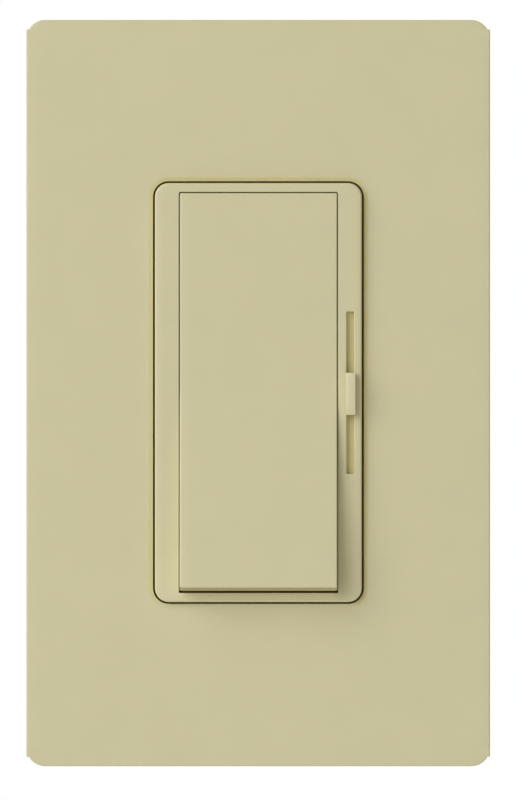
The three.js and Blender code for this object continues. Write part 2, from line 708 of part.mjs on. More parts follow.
function switchBase() {
  const { width, front, floorFront, bottom, top, wall, wallHeight } = SWITCH_BASE;
  const floor = box(around(0, width / 2), [floorFront, BOARD.front - GAP], [bottom, top]);
  const walls = [-1, 1].map((side) => {
    const x = side * (width / 2 - wall / 2);
    const cheek = box(around(x, wall / 2), [front, floorFront + JOIN], around(PLUNGER.z, wallHeight / 2));
    return cut(cheek, rodX(ROCKER_PIN.radius + ROCKER_PIN.play, around(x, wall), ROCKER.y, PLUNGER.z));
  });
  return piece("switch_base", union(floor, ...walls), "darkPlastic");
}

// The see-saw that carries the moving contact, modelled level and tilted by its group.
function contactRocker() {
  const half = ROCKER.length / 2;
  const armHalf = CONTACT_ARM.width / 2;
  const beam = box(around(0, ROCKER.width / 2), [ROCKER.front, ROCKER.back], around(0, half));
  const armSlot = box(
    around(0, armHalf + CONTACT_ARM.play),
    around(0, CONTACT_ARM.thickness / 2 + CONTACT_ARM.play),
    [-half - BEYOND, -half + CONTACT_ARM.hold + CONTACT_ARM.play],
  );
  const pins = [-1, 1].map((side) => {
    const x = span(side * (ROCKER.width / 2 - GAP), side * (ROCKER.width / 2 + ROCKER_PIN.reach));
    return rodX(ROCKER_PIN.radius, x, 0, 0, ROCKER_PIN.sides);
  });
  const arm = box(
    around(0, armHalf),
    around(0, CONTACT_ARM.thickness / 2),
    [CONTACT.z - CONTACT_ARM.overhang, -half + CONTACT_ARM.hold],
  );
  const tipFront = CONTACT_ARM.thickness / 2 + JOIN;
  const tip = rodY(CONTACT.radius, [tipFront, tipFront + CONTACT.thickness], 0, CONTACT.z, CONTACT.sides);
  const group = new THREE.Group();
  group.add(
    piece("contact_rocker", union(cut(beam, armSlot), ...pins), "whitePlastic"),
    piece("moving_contact_arm", arm, "brass"),
    piece("moving_contact_tip", tip, "silver"),
  );
  group.rotation.x = THREE.MathUtils.degToRad(-ROCKER.tilt);
  group.position.set(0, ROCKER.y, PLUNGER.z);
  return group;
}

function fixedContact() {
  const { front, width, bottom, top, foot } = FIXED_ARM;
  const arm = union(
    box(around(0, width / 2), [front, front + CONTACT_ARM.thickness], [bottom, top]),
    box(around(0, width / 2), [front, BOARD.front - JOIN], [bottom, bottom + foot]),
  );
  const z = PLUNGER.z + CONTACT.z + FIXED_TIP.lift;
  const tip = rodY(CONTACT.radius, [front - FIXED_TIP.front, front - FIXED_TIP.back], 0, z, CONTACT.sides);
  return [piece("fixed_contact_arm", arm, "brass"), piece("fixed_contact_tip", tip, "silver")];
}

// ---------------------------------------------------------------- housing

function backHousing() {
  const outline = roundedRect(HOUSING.width, HOUSING.height, HOUSING.corner);
  const block = slab(outline, [BEHIND_YOKE, HOUSING.back], HOUSING.edge);
  const inside = roundedRect(
    HOUSING.width - 2 * HOUSING_SHELL.wall,
    HOUSING.height - 2 * HOUSING_SHELL.wall,
    HOUSING.innerCorner,
  );
  const cavity = slab(inside, [BEHIND_YOKE - BEYOND, HOUSING.back - HOUSING_SHELL.floor]);
  const posts = screwPlaces().map(([x, z]) =>
    rodY(HOUSING_BOSS.radius, [BEHIND_YOKE - 2 * BEYOND, HOUSING.back], x, z),
  );
  const pockets = TERMINALS.map((terminal) => placed(pocketBlock(), terminal));
  const shell = cut(block, cut(cavity, ...posts, ...pockets));
  const recesses = TERMINALS.map((terminal) => placed(recessCut(), terminal));
  const screwHoles = screwPlaces().map(([x, z]) => housingScrewHole(x, z));
  return piece("back_housing", cut(shell, ...recesses, ...screwHoles), "greyPlastic");
}

function screwPlaces() {
  const { x, z } = HOUSING_SCREW;
  return [[-x, -z], [x, -z], [-x, z], [x, z]];
}

// Turns a body made for the +X side to its terminal's side and height.
function placed(solid, { side, z }) {
  const turnedRound = side < 0 ? solid.rotate([0, 180, 0]) : solid;
  return turnedRound.translate([0, 0, z]);
}

function pocketBlock() {
  const outer = HOUSING.width / 2 - HOUSING_SHELL.wall + JOIN;
  return box(
    [RECESS.inner - RECESS.wall, outer],
    [RECESS.front - RECESS.wall, RECESS.back + RECESS.wall],
    around(0, RECESS.half + RECESS.wall),
  );
}

// What a terminal needs open: its recess, a bore for the screw's end and a hole for the plate's leg.
function recessCut() {
  const mouth = HOUSING.width / 2 + BEYOND;
  const recess = box([RECESS.inner, mouth], [RECESS.front, RECESS.back], around(0, RECESS.half));
  const screwBore = rodX(TERMINAL.bore, [RECESS.inner - 2 * RECESS.wall, mouth], TERMINAL.y, 0);
  const legHole = box(
    [LEG_HOLE.left, LEG_HOLE.right],
    [RECESS.front - LEG_HOLE.depth, RECESS.front + BEYOND],
    around(0, LEG_HOLE.height / 2),
  );
  return union(recess, screwBore, legHole);
}

function housingScrewHole(x, z) {
  const seat = HOUSING.back - HOUSING_BOSS.boreDepth;
  return union(
    rodY(HOUSING_SCREW_HOLE, [BEHIND_YOKE - BEYOND, HOUSING.back], x, z, 16),
    rodY(HOUSING_BOSS.bore, [seat, HOUSING.back + BEYOND], x, z),
  );
}

function housingScrews() {
  const { head, shank, length, headThickness } = HOUSING_SCREW;
  const lowHead = [[0.8 * head, 0], [head, headThickness / 3], [head, headThickness]];
  return screwPlaces().map(([x, z], index) => {
    const mesh = piece(`housing_screw_${index + 1}`, screw(lowHead, shank, length, 16), "zincSteel");
    mesh.rotation.x = HALF_TURN;
    mesh.position.set(x, HOUSING.back - GAP, z);
    return mesh;
  });
}

// ---------------------------------------------------------------- terminals

function terminals() {
  return TERMINALS.map(({ name, side, z }) => {
    const screwHole = rodX(
      TERMINAL.screw + TERMINAL.play,
      [TERMINAL_PLATE.inner - BEYOND, TERMINAL_CLAMP.outer + BEYOND],
      TERMINAL.y,
    );
    const group = new THREE.Group();
    group.add(
      piece(`terminal_plate_${name}`, cut(terminalPlate(), screwHole), "brass"),
      piece(`terminal_clamp_${name}`, cut(terminalClamp(), screwHole), "brass"),
      terminalScrew(name),
    );
    group.rotation.y = side < 0 ? HALF_TURN : 0;
    group.position.z = z;
    return group;
  });
}

// The fixed brass plate, with a leg that reaches the board.
function terminalPlate() {
  const { inner, outer, front, back, height, leg } = TERMINAL_PLATE;
  return union(
    box([inner, outer], [front, back], around(0, height / 2)),
    box([inner, outer], [BOARD_BACK + SOLDER_GAP, front + GAP], around(0, leg / 2)),
  );
}

// The brass plate under the screw's head, with a lip turned in towards the fixed plate.
function terminalClamp() {
  const { inner, outer, front, back, height, lip } = TERMINAL_CLAMP;
  return union(
    box([inner, outer], [front, back], around(0, height / 2)),
    box([inner - lip, inner + JOIN], [back - lip, back], around(0, height / 2)),
  );
}

function terminalScrew(name) {
  const { head, headThickness, screw: shank, y } = TERMINAL;
  const panHead = [[0.85 * head, 0], [head, 0.3 * headThickness], [head, headThickness]];
  const mesh = piece(`terminal_screw_${name}`, screw(panHead, shank, TERMINAL_SCREW_LENGTH, 16), "brass");
  mesh.rotation.z = QUARTER_TURN;
  mesh.position.set(HOUSING.width / 2 - JOIN, y, 0);
  return mesh;
}

// ---------------------------------------------------------------- circuit

function circuitBoard() {
  const board = slab(roundedRect(BOARD.width, BOARD.height, BOARD.corner), [BOARD.front, BOARD_BACK], 0, 2);
  const clear = HOUSING_BOSS.radius + 0.5;
  const corners = screwPlaces().map(([x, z]) =>
    box(around(x, clear), [BOARD.front - BEYOND, BOARD_BACK + BEYOND], around(z, clear)),
  );
  return piece("circuit_board", cut(board, ...corners), "board");
}

function triacGroup() {
  const { x, width, front, bottom, body, depth, tab, tabDepth } = TRIAC;
  const across = around(x, width / 2);
  const top = bottom + body + tab;
  const hole = rodY(RIVET.shank + GAP, [0, 2 * BEYOND + tabDepth], x, RIVET.z, 16);
  const triac = union(
    box(across, [front, front + depth], [bottom, bottom + body]),
    box(across, [front, front + tabDepth], [bottom + body - JOIN, top]),
    ...triacLegs(),
  );
  const insulator = cut(
    box(
      around(x, INSULATOR.width / 2),
      [BEHIND_YOKE, BEHIND_YOKE + INSULATOR.thickness],
      [bottom - INSULATOR.margin, top + INSULATOR.margin],
    ),
    rodY(RIVET.shank + GAP, [-BEYOND, BEYOND], x, RIVET.z, 16),
  );
  return [
    piece("triac", cut(triac, hole), "darkPlastic"),
    piece("triac_insulator", insulator, "mica"),
    piece("triac_rivet", rivet(front + tabDepth + GAP).translate([x, 0, RIVET.z]), "aluminium"),
  ];
}

// Three legs that come out of the triac's lower end and turn back to the board.
function triacLegs() {
  const { pitch, width, thickness, front, bottom } = TRIAC_LEG;
  return [-1, 0, 1].map((place) => {
    const across = around(TRIAC.x + pitch * place, width / 2);
    return union(
      box(across, [front, front + thickness], [bottom, TRIAC.bottom + JOIN]),
      box(across, [front, BOARD.front - SOLDER_GAP], [bottom, bottom + thickness]),
    );
  });
}

function rivet(backHead) {
  const frontHead = YOKE.front - GAP;
  return turned([
    [0, frontHead - RIVET.headThickness],
    [RIVET.crown, frontHead - RIVET.headThickness],
    [RIVET.head, frontHead],
    [RIVET.shank, frontHead],
    [RIVET.shank, backHead],
    [RIVET.head, backHead],
    [RIVET.crown, backHead + RIVET.headThickness],
    [0, backHead + RIVET.headThickness],
  ]);
}

// A ring about Y with a rectangular section.
function ringY([r0, r1], [y0, y1], sides = 28) {
  const section = [[r0, y0], [r1, y0], [r1, y1], [r0, y1], [r0, y0]];
  return turned(section, sides);
}

// A toroidal choke: the winding is a sleeve round the core, open over one sector.
function choke() {
  const { x, z, inner, outer, height, wire, gap, standoff } = CHOKE;
  const base = BOARD_BACK + standoff;
  const room = wire + GAP;
  const core = ringY([inner, outer], [base + room, base + room + height]);
  const sleeve = cut(
    ringY([inner - room, outer + room], [base, base + height + 2 * room]),
    ringY([inner - GAP, outer + GAP], [base + wire, base + height + 2 * room - wire]),
    box([0, outer + 2 * BEYOND], [base - BEYOND, base + height + 3 * BEYOND], around(0, gap / 2)),
  );
  return [
    piece("choke_core", core.translate([x, 0, z]), "ferrite"),
    piece("choke_winding", sleeve.translate([x, 0, z]), "copper"),
  ];
}

// A box-shaped film capacitor standing on the back of the board on two legs.
function filmCapacitor(name, [x, z], [width, depth, height]) {
  const { place, width: legWidth, standoff } = CAPACITOR_LEG;
  const base = BOARD_BACK + standoff;
  const legs = [-1, 1].map((side) =>
    box(
      around(x + side * width * place, legWidth / 2),
      [BOARD_BACK + SOLDER_GAP, base + JOIN],
      around(z, legWidth / 2),
    ),
  );
  const body = box(around(x, width / 2), [base, base + depth], around(z, height / 2));
  return piece(name, union(body, ...legs), "filmBox");
}

// A part with a wire at each end, lying along X over the back of the board.
function axialPart(name, [x, z], radius, length, colour) {
  const { width, reach, bend, standoff } = WIRE_LEG;
  const y = BOARD_BACK + standoff + radius;
  const half = length / 2;
  const thick = around(z, width / 2);
  const wires = [-1, 1].map((side) =>
    union(
      box(span(x + side * (half - GAP), x + side * (half + reach)), around(y, width / 2), thick),
      box(around(x + side * (half + bend), width / 2), [BOARD_BACK + SOLDER_GAP, y], thick),
    ),
  );
  const barrel = turned([[0, -half], [radius, -half + GAP], [radius, half - GAP], [0, half]], 14);
  const body = barrel.rotate([0, 0, 90]).translate([x, y, z]);
  return piece(name, union(body, ...wires), colour);
}

function smallComponents() {
  const resistors = [-13, -17.5, -22].map((z, index) =>
    axialPart(`resistor_${index + 1}`, [11.5, z], 1.2, 6.4, "resistor"),
  );
  return [
    filmCapacitor("filter_capacitor", [3, 12], [17.5, 8, 12.5]),
    filmCapacitor("timing_capacitor", [-8, 24], [7.2, 6, 3]),
    axialPart("diac", [11.5, -8], 0.95, 4, "glass"),
    ...resistors,
  ];
}

// ---------------------------------------------------------------- assembly

const dimmer = new THREE.Group();
dimmer.add(
  wallplate(),
  adapterPlate(),
  ...adapterScrews(),
  faceBezel(),
  paddle(),
  sliderKnob(),
  sliderCarriage(),
  ...potentiometer(),
  yoke(),
  ...mountingScrews(),
  groundScrew(),
  switchPlunger(),
  returnSpring(),
  switchBase(),
  contactRocker(),
  ...fixedContact(),
  backHousing(),
  ...housingScrews(),
  ...terminals(),
  circuitBoard(),
  ...triacGroup(),
  ...choke(),
  ...smallComponents(),
);

export default dimmer;
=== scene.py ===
"""The looks of a wall dimmer: a paddle switch with a slider beside it under a clip-on wallplate.

Pieces are modelled in millimetres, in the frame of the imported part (X right, Y into the wall,
Z up), and scaled to metres when they take the place of their CAD nodes.
"""

import contextlib
import json
from math import atan2, ceil, copysign, cos, pi, radians, sin, sqrt, tan

import bmesh
import bpy
from mathutils import Matrix, Vector

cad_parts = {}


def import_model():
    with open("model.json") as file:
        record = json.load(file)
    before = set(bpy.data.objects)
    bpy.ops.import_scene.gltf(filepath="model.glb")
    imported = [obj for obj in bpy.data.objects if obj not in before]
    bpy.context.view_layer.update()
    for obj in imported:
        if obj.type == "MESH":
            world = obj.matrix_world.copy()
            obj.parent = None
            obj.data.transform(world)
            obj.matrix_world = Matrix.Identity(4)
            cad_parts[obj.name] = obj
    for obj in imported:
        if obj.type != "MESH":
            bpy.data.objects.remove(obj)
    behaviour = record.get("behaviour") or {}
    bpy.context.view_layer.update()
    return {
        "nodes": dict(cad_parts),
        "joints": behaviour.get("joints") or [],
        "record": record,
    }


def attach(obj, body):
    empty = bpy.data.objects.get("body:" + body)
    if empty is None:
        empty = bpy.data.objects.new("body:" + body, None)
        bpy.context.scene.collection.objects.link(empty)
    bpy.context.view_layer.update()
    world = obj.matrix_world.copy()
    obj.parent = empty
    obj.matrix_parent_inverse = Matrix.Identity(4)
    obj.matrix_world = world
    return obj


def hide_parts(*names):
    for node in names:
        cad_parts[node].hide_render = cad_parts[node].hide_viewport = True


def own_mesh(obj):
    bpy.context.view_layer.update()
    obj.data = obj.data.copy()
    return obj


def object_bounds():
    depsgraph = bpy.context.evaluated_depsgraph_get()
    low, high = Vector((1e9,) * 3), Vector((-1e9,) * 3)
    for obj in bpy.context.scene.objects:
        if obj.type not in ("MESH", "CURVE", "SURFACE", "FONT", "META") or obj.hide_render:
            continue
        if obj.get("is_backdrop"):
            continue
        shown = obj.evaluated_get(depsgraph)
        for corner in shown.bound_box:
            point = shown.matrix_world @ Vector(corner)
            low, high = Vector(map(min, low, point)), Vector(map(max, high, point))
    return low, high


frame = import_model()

MM = 0.001
TURN = 2 * pi

BODY_OF = {
    node: body for body, nodes in frame["record"]["behaviour"]["bodies"].items() for node in nodes
}
SLOT_OF = {part["node"]: part["material_slot"] for part in frame["record"]["subparts"]}

# ---- sizes that only the looks use

CORNER_STEPS = 10  # faces round a quarter of an outline's corner
FILLET_STEPS = 6  # faces across a rounded edge
CROWN_STEPS = 5  # faces across a domed edge
ROUND_SIDES = 56
WELD_GAP = 0.004  # corners nearer than this are merged after a cut

PLATE_WALL = 2.0
PLATE_CORNER = 3.0
PLATE_EDGE = 0.25  # radius of the wallplate's front edge
PLATE_LIP = 0.65  # width of the shallow chamfer round its opening
LIP_DEPTH = 0.08
CROWN = 0.05  # how far a moulded face falls away towards its edges
PLATE_CROWN_REACH = 2.2
OPENING_CORNER = 2.5
OPENING_SQUEEZE = 0.04  # how much narrower the opening looks on each side
FRAME_SHIFT = (0.03, 0.09)  # how far right and up the opening and the bezel look moved

BEZEL_CORNER = 2.2
BEZEL_EDGE = 0.32
BEZEL_CROWN = 0.05
FLANGE_CORNER = 2.4
BEZEL_WALL = 1.1
SLOT_LIP = 0.16
SLOT_CORNER = 0.15
WINDOW_LIP = 0.06
WINDOW_SHIFT = (0.09, 0.04)  # how far its left edge looks moved right, and its lower edge up
WINDOW_CORNERS = (0.35, 0.35, 0.08, 0.08)

PADDLE_WALL = 1.4
PADDLE_SHIFT = (0.01, 0.07)  # how far its left and its right edge look moved right
PADDLE_REACH = 4.0  # how far its lower edge stands out of the bezel
CREASE_Z = 0.4
PADDLE_RIBS = (-24, -10, 4, 16)  # heights of the ribs behind its face
PADDLE_EDGE = 0.25
PADDLE_CROWN = 0.07
PADDLE_CROWN_REACH = 1.5
PADDLE_CHAMFER = 0.55  # height of the slope under its lower front edge
CHAMFER_TURN = 50  # degrees between the face and that slope
CREASE_RADIUS = 3.0
PIN_RADIUS = 0.9
PIN_HOLE = 1.02

STRIP_RISE = 0.14  # how far the slider's dust strip stands in front of its CAD node
KNOB_SAG = 0.2
KNOB_END = 0.95  # length of the slopes at the knob's ends
KNOB_STEPS = (0.95, 0.85, 0.75, 0.6, 0.4, 0.2)  # facets across its face, from the left

BOX_SCREW_Z = 41.65  # height of the screws that go into the wall box
PLATE_SCREW_Z = 48.4  # height of the screws that hold the adapter plate
PLATE_SCREW_HOLE = 2.0
RIVET_PLACE = (-6, 18.7)
RIVET_HOLE = 1.65
GROUND_PLACE = (-14, -34.8)
CLIP_Z = 22
SLIDER_REACH = 9.5  # how far it goes up from the middle of the slot
WIRE_Y = 18.7  # depth of the wires' entries behind the wall
WIRE_HOLE = 1.75
SCREW_632 = (1.75, 0.79)  # radius and pitch of a 6-32 thread
THREAD_DEPTH = 0.16  # of the radius
THREAD = ((0, 0), (0.36, 1), (0.48, 1), (0.84, 0))  # part of a turn, and height of the thread there

EDGE_POLISH = 0.12  # how much glossier an edge is where the edge mask lightens it: wear, and on ivory_face a painted highlight
COAT_ROUGHNESS = 0.12
FLOOR_HALF = 1.5  # metres
FLOOR_DROP = 0.075  # metres from the part down to the floor
AMBIENT = 0.215  # strength of the even light from all round


# ---- measures from the frame


def limits(node, test=None):
    """Lowest and highest corner, in mm, of a CAD node, or of its points that pass a test."""
    points = [v.co / MM for v in frame["nodes"][node].data.vertices]
    kept = [p for p in points if test is None or test(p)]
    low = Vector([min(p[axis] for p in kept) for axis in range(3)])
    high = Vector([max(p[axis] for p in kept) for axis in range(3)])
    return low, high


def spans(node, test=None):
    """The same limits as three (low, high) pairs."""
    low, high = limits(node, test)
    return (low.x, high.x), (low.y, high.y), (low.z, high.z)


def around(centre, half):
    return (centre - half, centre + half)


def middle(pair):
    return (pair[0] + pair[1]) / 2


def grown(pair, amount):
    return (pair[0] - amount, pair[1] + amount)


def shifted(pair, amount):
    return (pair[0] + amount, pair[1] + amount)


# ---- solids in millimetres


def add_object(name, data):
    obj = bpy.data.objects.new(name, data)
    bpy.context.scene.collection.objects.link(obj)
    return obj


def to_object(bm):
    bmesh.ops.remove_doubles(bm, verts=bm.verts, dist=1e-4)
    bmesh.ops.dissolve_degenerate(bm, dist=1e-5, edges=bm.edges)
    bmesh.ops.recalc_face_normals(bm, faces=bm.faces)
    mesh = bpy.data.meshes.new("solid")
    bm.to_mesh(mesh)
    bm.free()
    return add_object("solid", mesh)


def ring(x, z, y, corner):
    """A rounded rectangle at one y. Four corner radii run anticlockwise from the top right."""
    radii = corner if isinstance(corner, tuple) else (corner,) * 4
    corners = ((x[1], z[1], -1, -1), (x[0], z[1], 1, -1), (x[0], z[0], 1, 1), (x[1], z[0], -1, 1))
    points = []
    for number, ((cx, cz, to_x, to_z), radius) in enumerate(zip(corners, radii)):
        for step in range(CORNER_STEPS + 1):
            angle = (number + step / CORNER_STEPS) * TURN / 4
            points.append((
                cx + to_x * radius + radius * cos(angle),
                y,
                cz + to_z * radius + radius * sin(angle),
            ))
    return points


def inset_rings(x, z, corner, least=0.3):
    """A function that gives an outline's ring some way in from it, at one y."""
    def at(inset, y):
        return ring(grown(x, -inset), grown(z, -inset), y, max(corner - inset, least))

    return at


def loft(rings, closed=False):
    """Skins rings in turn, and caps the two ends or joins them. A ring may be one point."""
    bm = bmesh.new()
    rows = [[bm.verts.new(point) for point in points] for points in rings]
    for row, following in zip(rows, rows[1:] + ([rows[0]] if closed else [])):
        for k in range(max(len(row), len(following))):
            corners = [
                points[(k + step) % len(points)]
                for points, step in ((row, 0), (row, 1), (following, 1), (following, 0))
            ]
            bm.faces.new(list(dict.fromkeys(corners)))
    for end in (rows[0], rows[-1][::-1]):
        if not closed and len(end) > 1:
            bm.faces.new(end)
    return to_object(bm)


def quarter(radius, steps=FILLET_STEPS):
    """Insets and drops along a rounded edge, from the side of a body to its face."""
    angles = [TURN / 4 * k / steps for k in range(steps + 1)]
    return [(radius * (1 - cos(a)), radius * (1 - sin(a))) for a in angles]


def crown(sag, reach):
    """Distances in from an edge, with how far a gently domed face lies below its middle there."""
    return [
        (reach * k / CROWN_STEPS, sag * (1 - k / CROWN_STEPS) ** 2)
        for k in range(1, CROWN_STEPS + 1)
    ]


def slab(x, y, z, corner=0.3, front=0.15, back=0.15):
    """A rounded rectangle run along Y, with rounded front and back edges."""
    at = inset_rings(x, z, corner, 0.01)
    rows = [at(inset, y[1] - drop) for inset, drop in reversed(quarter(back, 3))]
    rows += [at(inset, y[0] + drop) for inset, drop in quarter(front, 3)]
    return loft(rows)


def prism_x(outline, x):
    """A YZ outline run along X."""
    return loft([[(side, y, z) for y, z in outline] for side in x])


def crowned_prism(outline, x, front, sag, edge, reach):
    """The same, with what is in front of a y falling back by a gentle crown to its left end."""
    stations = [(x[0], sag)]
    for k in range(CROWN_STEPS + 1):
        across = edge + reach * k / CROWN_STEPS
        stations.append((x[0] + across, sag * (1 - across / (edge + reach)) ** 2))
    stations.append((x[1], 0))
    return loft([
        [(side, y + fall if y < front else y, z) for y, z in outline] for side, fall in stations
    ])


def arc(centre, radius, start, end, steps):
    """Points of an arc in degrees, from start to end."""
    angles = [radians(start + (end - start) * k / steps) for k in range(steps + 1)]
    return [(centre[0] + radius * cos(a), centre[1] + radius * sin(a)) for a in angles]


def turned(profile, x=0.0, z=0.0, sides=ROUND_SIDES, closed=False):
    """A body turned about Y, from (radius, y) pairs or functions that give one for an angle."""
    def place(pair, angle):
        radius, y = pair(angle) if callable(pair) else pair
        return (x + radius * cos(angle), y, z + radius * sin(angle))

    rings = []
    for pair in profile:
        count = sides if callable(pair) or pair[0] else 1
        rings.append([place(pair, TURN * k / count) for k in range(count)])
    return loft(rings, closed)


def rod_y(radius, y, x=0.0, z=0.0, edge=0.0, sides=ROUND_SIDES):
    if edge == 0:
        return turned([(0, y[0]), (radius, y[0]), (radius, y[1]), (0, y[1])], x, z, sides)
    rows = [(radius - inset, y[0] + drop) for inset, drop in reversed(quarter(edge, 3))]
    rows += [(radius - inset, y[1] - drop) for inset, drop in quarter(edge, 3)]
    return turned([(0, y[0]), *rows, (0, y[1])], x, z, sides)


def rod_x(radius, x, y, z, edge=0.0):
    return move(rod_y(radius, x, edge=edge), (0, y, z), -TURN / 4, "Z")


def tube(path, radius, sides=12):
    """A round wire along a list of points."""
    points = [Vector(point) for point in path]
    side = Vector((1, 0, 0))
    rings = []
    for k, point in enumerate(points):
        forward = (points[min(k + 1, len(points) - 1)] - points[max(k - 1, 0)]).normalized()
        side = (side - forward * side.dot(forward)).normalized()
        up = forward.cross(side)
        angles = (TURN * n / sides for n in range(sides))
        rings.append([point + radius * (cos(a) * side + sin(a) * up) for a in angles])
    return loft(rings)


def move(obj, place, angle=0.0, axis="X"):
    """Turns an object about an axis through the origin, and then moves it."""
    obj.data.transform(Matrix.Translation(place) @ Matrix.Rotation(angle, 4, axis))
    return obj


def settle(obj):
    """Makes an object's modifiers part of its mesh."""
    bpy.context.view_layer.update()
    evaluated = obj.evaluated_get(bpy.context.evaluated_depsgraph_get())
    mesh = bpy.data.meshes.new_from_object(evaluated)
    old = obj.data
    obj.modifiers.clear()
    obj.data = mesh
    bpy.data.meshes.remove(old)
    return obj


def boolean(obj, operation, others):
    for other in others:
        modifier = obj.modifiers.new("boolean", "BOOLEAN")
        modifier.operation = operation
        modifier.solver = "EXACT"
        modifier.object = other
    settle(obj)
    for other in others:
        bpy.data.objects.remove(other)
    return obj


def carve(obj, *cutters):
    return boolean(obj, "DIFFERENCE", cutters)


def unite(obj, *others):
    return boolean(obj, "UNION", others)


@contextlib.contextmanager
def edited(mesh):
    bm = bmesh.new()
    bm.from_mesh(mesh)
    yield bm
    bm.to_mesh(mesh)
    bm.free()


def cut_through(bm, point, normal, clear_outer=False):
    """Runs an edge round a body where a plane cuts it."""
    cut = bmesh.ops.bisect_plane(
        bm, geom=bm.verts[:] + bm.edges[:] + bm.faces[:], plane_co=point,
        plane_no=Vector(normal).normalized(), clear_outer=clear_outer
    )
    return [item for item in cut["geom_cut"] if isinstance(item, bmesh.types.BMEdge)]


def shave(obj, point, normal):
    """Cuts off what lies beyond a plane, on the side that its normal points to."""
    with edited(obj.data) as bm:
        bmesh.ops.contextual_create(bm, geom=cut_through(bm, point, normal, clear_outer=True))
        bmesh.ops.recalc_face_normals(bm, faces=bm.faces)


def soften(obj, width, segments=3, angle=30):
    """Rounds every edge sharper than the angle."""
    modifier = obj.modifiers.new("edges", "BEVEL")
    modifier.width = width
    modifier.segments = segments
    modifier.limit_method = "ANGLE"
    modifier.angle_limit = radians(angle)
    return settle(obj)


def weld(obj):
    """Merges the corners that booleans leave almost at one point, and closes the pinholes."""
    with edited(obj.data) as bm:
        bmesh.ops.remove_doubles(bm, verts=bm.verts, dist=WELD_GAP)
        bmesh.ops.dissolve_degenerate(bm, dist=1e-4, edges=bm.edges)
        bmesh.ops.holes_fill(bm, edges=[edge for edge in bm.edges if edge.is_boundary], sides=6)


def smooth(obj, angle):
    """Shades rounded edges smoothly and keeps flat faces flat."""
    mesh = obj.data
    mesh.polygons.foreach_set("use_smooth", [True] * len(mesh.polygons))
    mesh.set_sharp_from_angle(angle=radians(angle))
    modifier = obj.modifiers.new("normals", "WEIGHTED_NORMAL")
    modifier.keep_sharp = True
    return settle(obj)


def flared_cutter(x, z, y, lip, corner, front):
    """Cuts a rounded opening whose edge at the front face is rounded by lip."""
    at = inset_rings(x, z, corner, 0)
    rows = [at(0, y), *(at(-inset, front + drop) for inset, drop in quarter(lip))]
    return loft(rows + [at(-lip, front - 2)])


def refine(node, width):
    """A copy of a CAD node with its flat faces whole and its sharp edges rounded."""
    bm = bmesh.new()
    bm.from_mesh(frame["nodes"][node].data)
    bmesh.ops.scale(bm, vec=(1 / MM,) * 3, verts=bm.verts)
    bmesh.ops.remove_doubles(bm, verts=bm.verts, dist=1e-3)
    bmesh.ops.dissolve_limit(
        bm, angle_limit=radians(1), verts=bm.verts, edges=bm.edges, use_dissolve_boundaries=False
    )
    return soften(to_object(bm), width)


def stand_for(obj, node, extra=(), angle=38):
    """Lets a piece, modelled in mm, take the place of its CAD node, with its body and finish."""
    weld(obj)
    smooth(obj, angle)
    obj.name = node + "_fine"
    obj.data.name = obj.name
    obj.data.transform(Matrix.Scale(MM, 4))
    obj.data.materials.clear()
    for slot in (SLOT_OF[node], *extra):
        obj.data.materials.append(material(slot))
    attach(obj, BODY_OF[node])
    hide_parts(node)
    return obj


# ---- material nodes


def add(tree, kind, inputs=None, **settings):
    """A node with its settings, whose inputs are values or other nodes' outputs."""
    node = tree.nodes.new("ShaderNode" + kind)
    for key, value in settings.items():
        setattr(node, key, value)
    for key, value in (inputs or {}).items():
        if isinstance(value, bpy.types.NodeSocket):
            tree.links.new(value, node.inputs[key])
        else:
            node.inputs[key].default_value = value
    return node


def blank_material(name):
    made = bpy.data.materials.new(name)
    made.use_nodes = True
    tree = made.node_tree
    tree.nodes.clear()
    shader = add(tree, "BsdfPrincipled")
    output = add(tree, "OutputMaterial")
    tree.links.new(shader.outputs["BSDF"], output.inputs["Surface"])
    return made, tree, shader


def place_in_mm(tree, stretch=(1, 1, 1)):
    """The point on the piece in millimetres, stretched for a directional grain."""
    point = add(tree, "TexCoord").outputs["Object"]
    scale = [s / MM for s in stretch]
    return add(tree, "Mapping", {"Vector": point, "Scale": scale}).outputs["Vector"]


def noise(tree, vector, size, detail=2.0, roughness=0.5):
    settings = {"Vector": vector, "Scale": 1 / size, "Detail": detail, "Roughness": roughness}
    return add(tree, "TexNoise", settings).outputs["Fac"]


def ramp(tree, value, low, high, start=0.3, end=0.7):
    """A value between two limits, mapped from the middle of a noise's range."""
    inputs = {"Value": value, "From Min": start, "From Max": end, "To Min": low, "To Max": high}
    return add(tree, "MapRange", inputs).outputs["Result"]


def mix_colour(tree, factor, *colours):
    colours = [c if isinstance(c, bpy.types.NodeSocket) else (*c, 1) for c in colours]
    return add(tree, "Mix", {0: factor, 6: colours[0], 7: colours[1]}, data_type="RGBA").outputs[2]


def combine(tree, operation, first, second):
    return add(tree, "Math", {0: first, 1: second}, operation=operation).outputs[0]


def edge_mask(tree, radius, breakup):
    """One along outer and inner edges, broken up by a noise, and nought on open faces."""
    bevel = add(tree, "Bevel", {"Radius": radius * MM}, samples=4)
    normal = add(tree, "NewGeometry").outputs["Normal"]
    dot = add(tree, "VectorMath", {0: bevel.outputs[0], 1: normal}, operation="DOT_PRODUCT")
    edge = ramp(tree, dot.outputs["Value"], 1.0, 0.0, 0.86, 0.985)
    return combine(tree, "MULTIPLY", edge, breakup)


def shade(colour, amount):
    return tuple(min(1.0, channel * amount) for channel in colour)


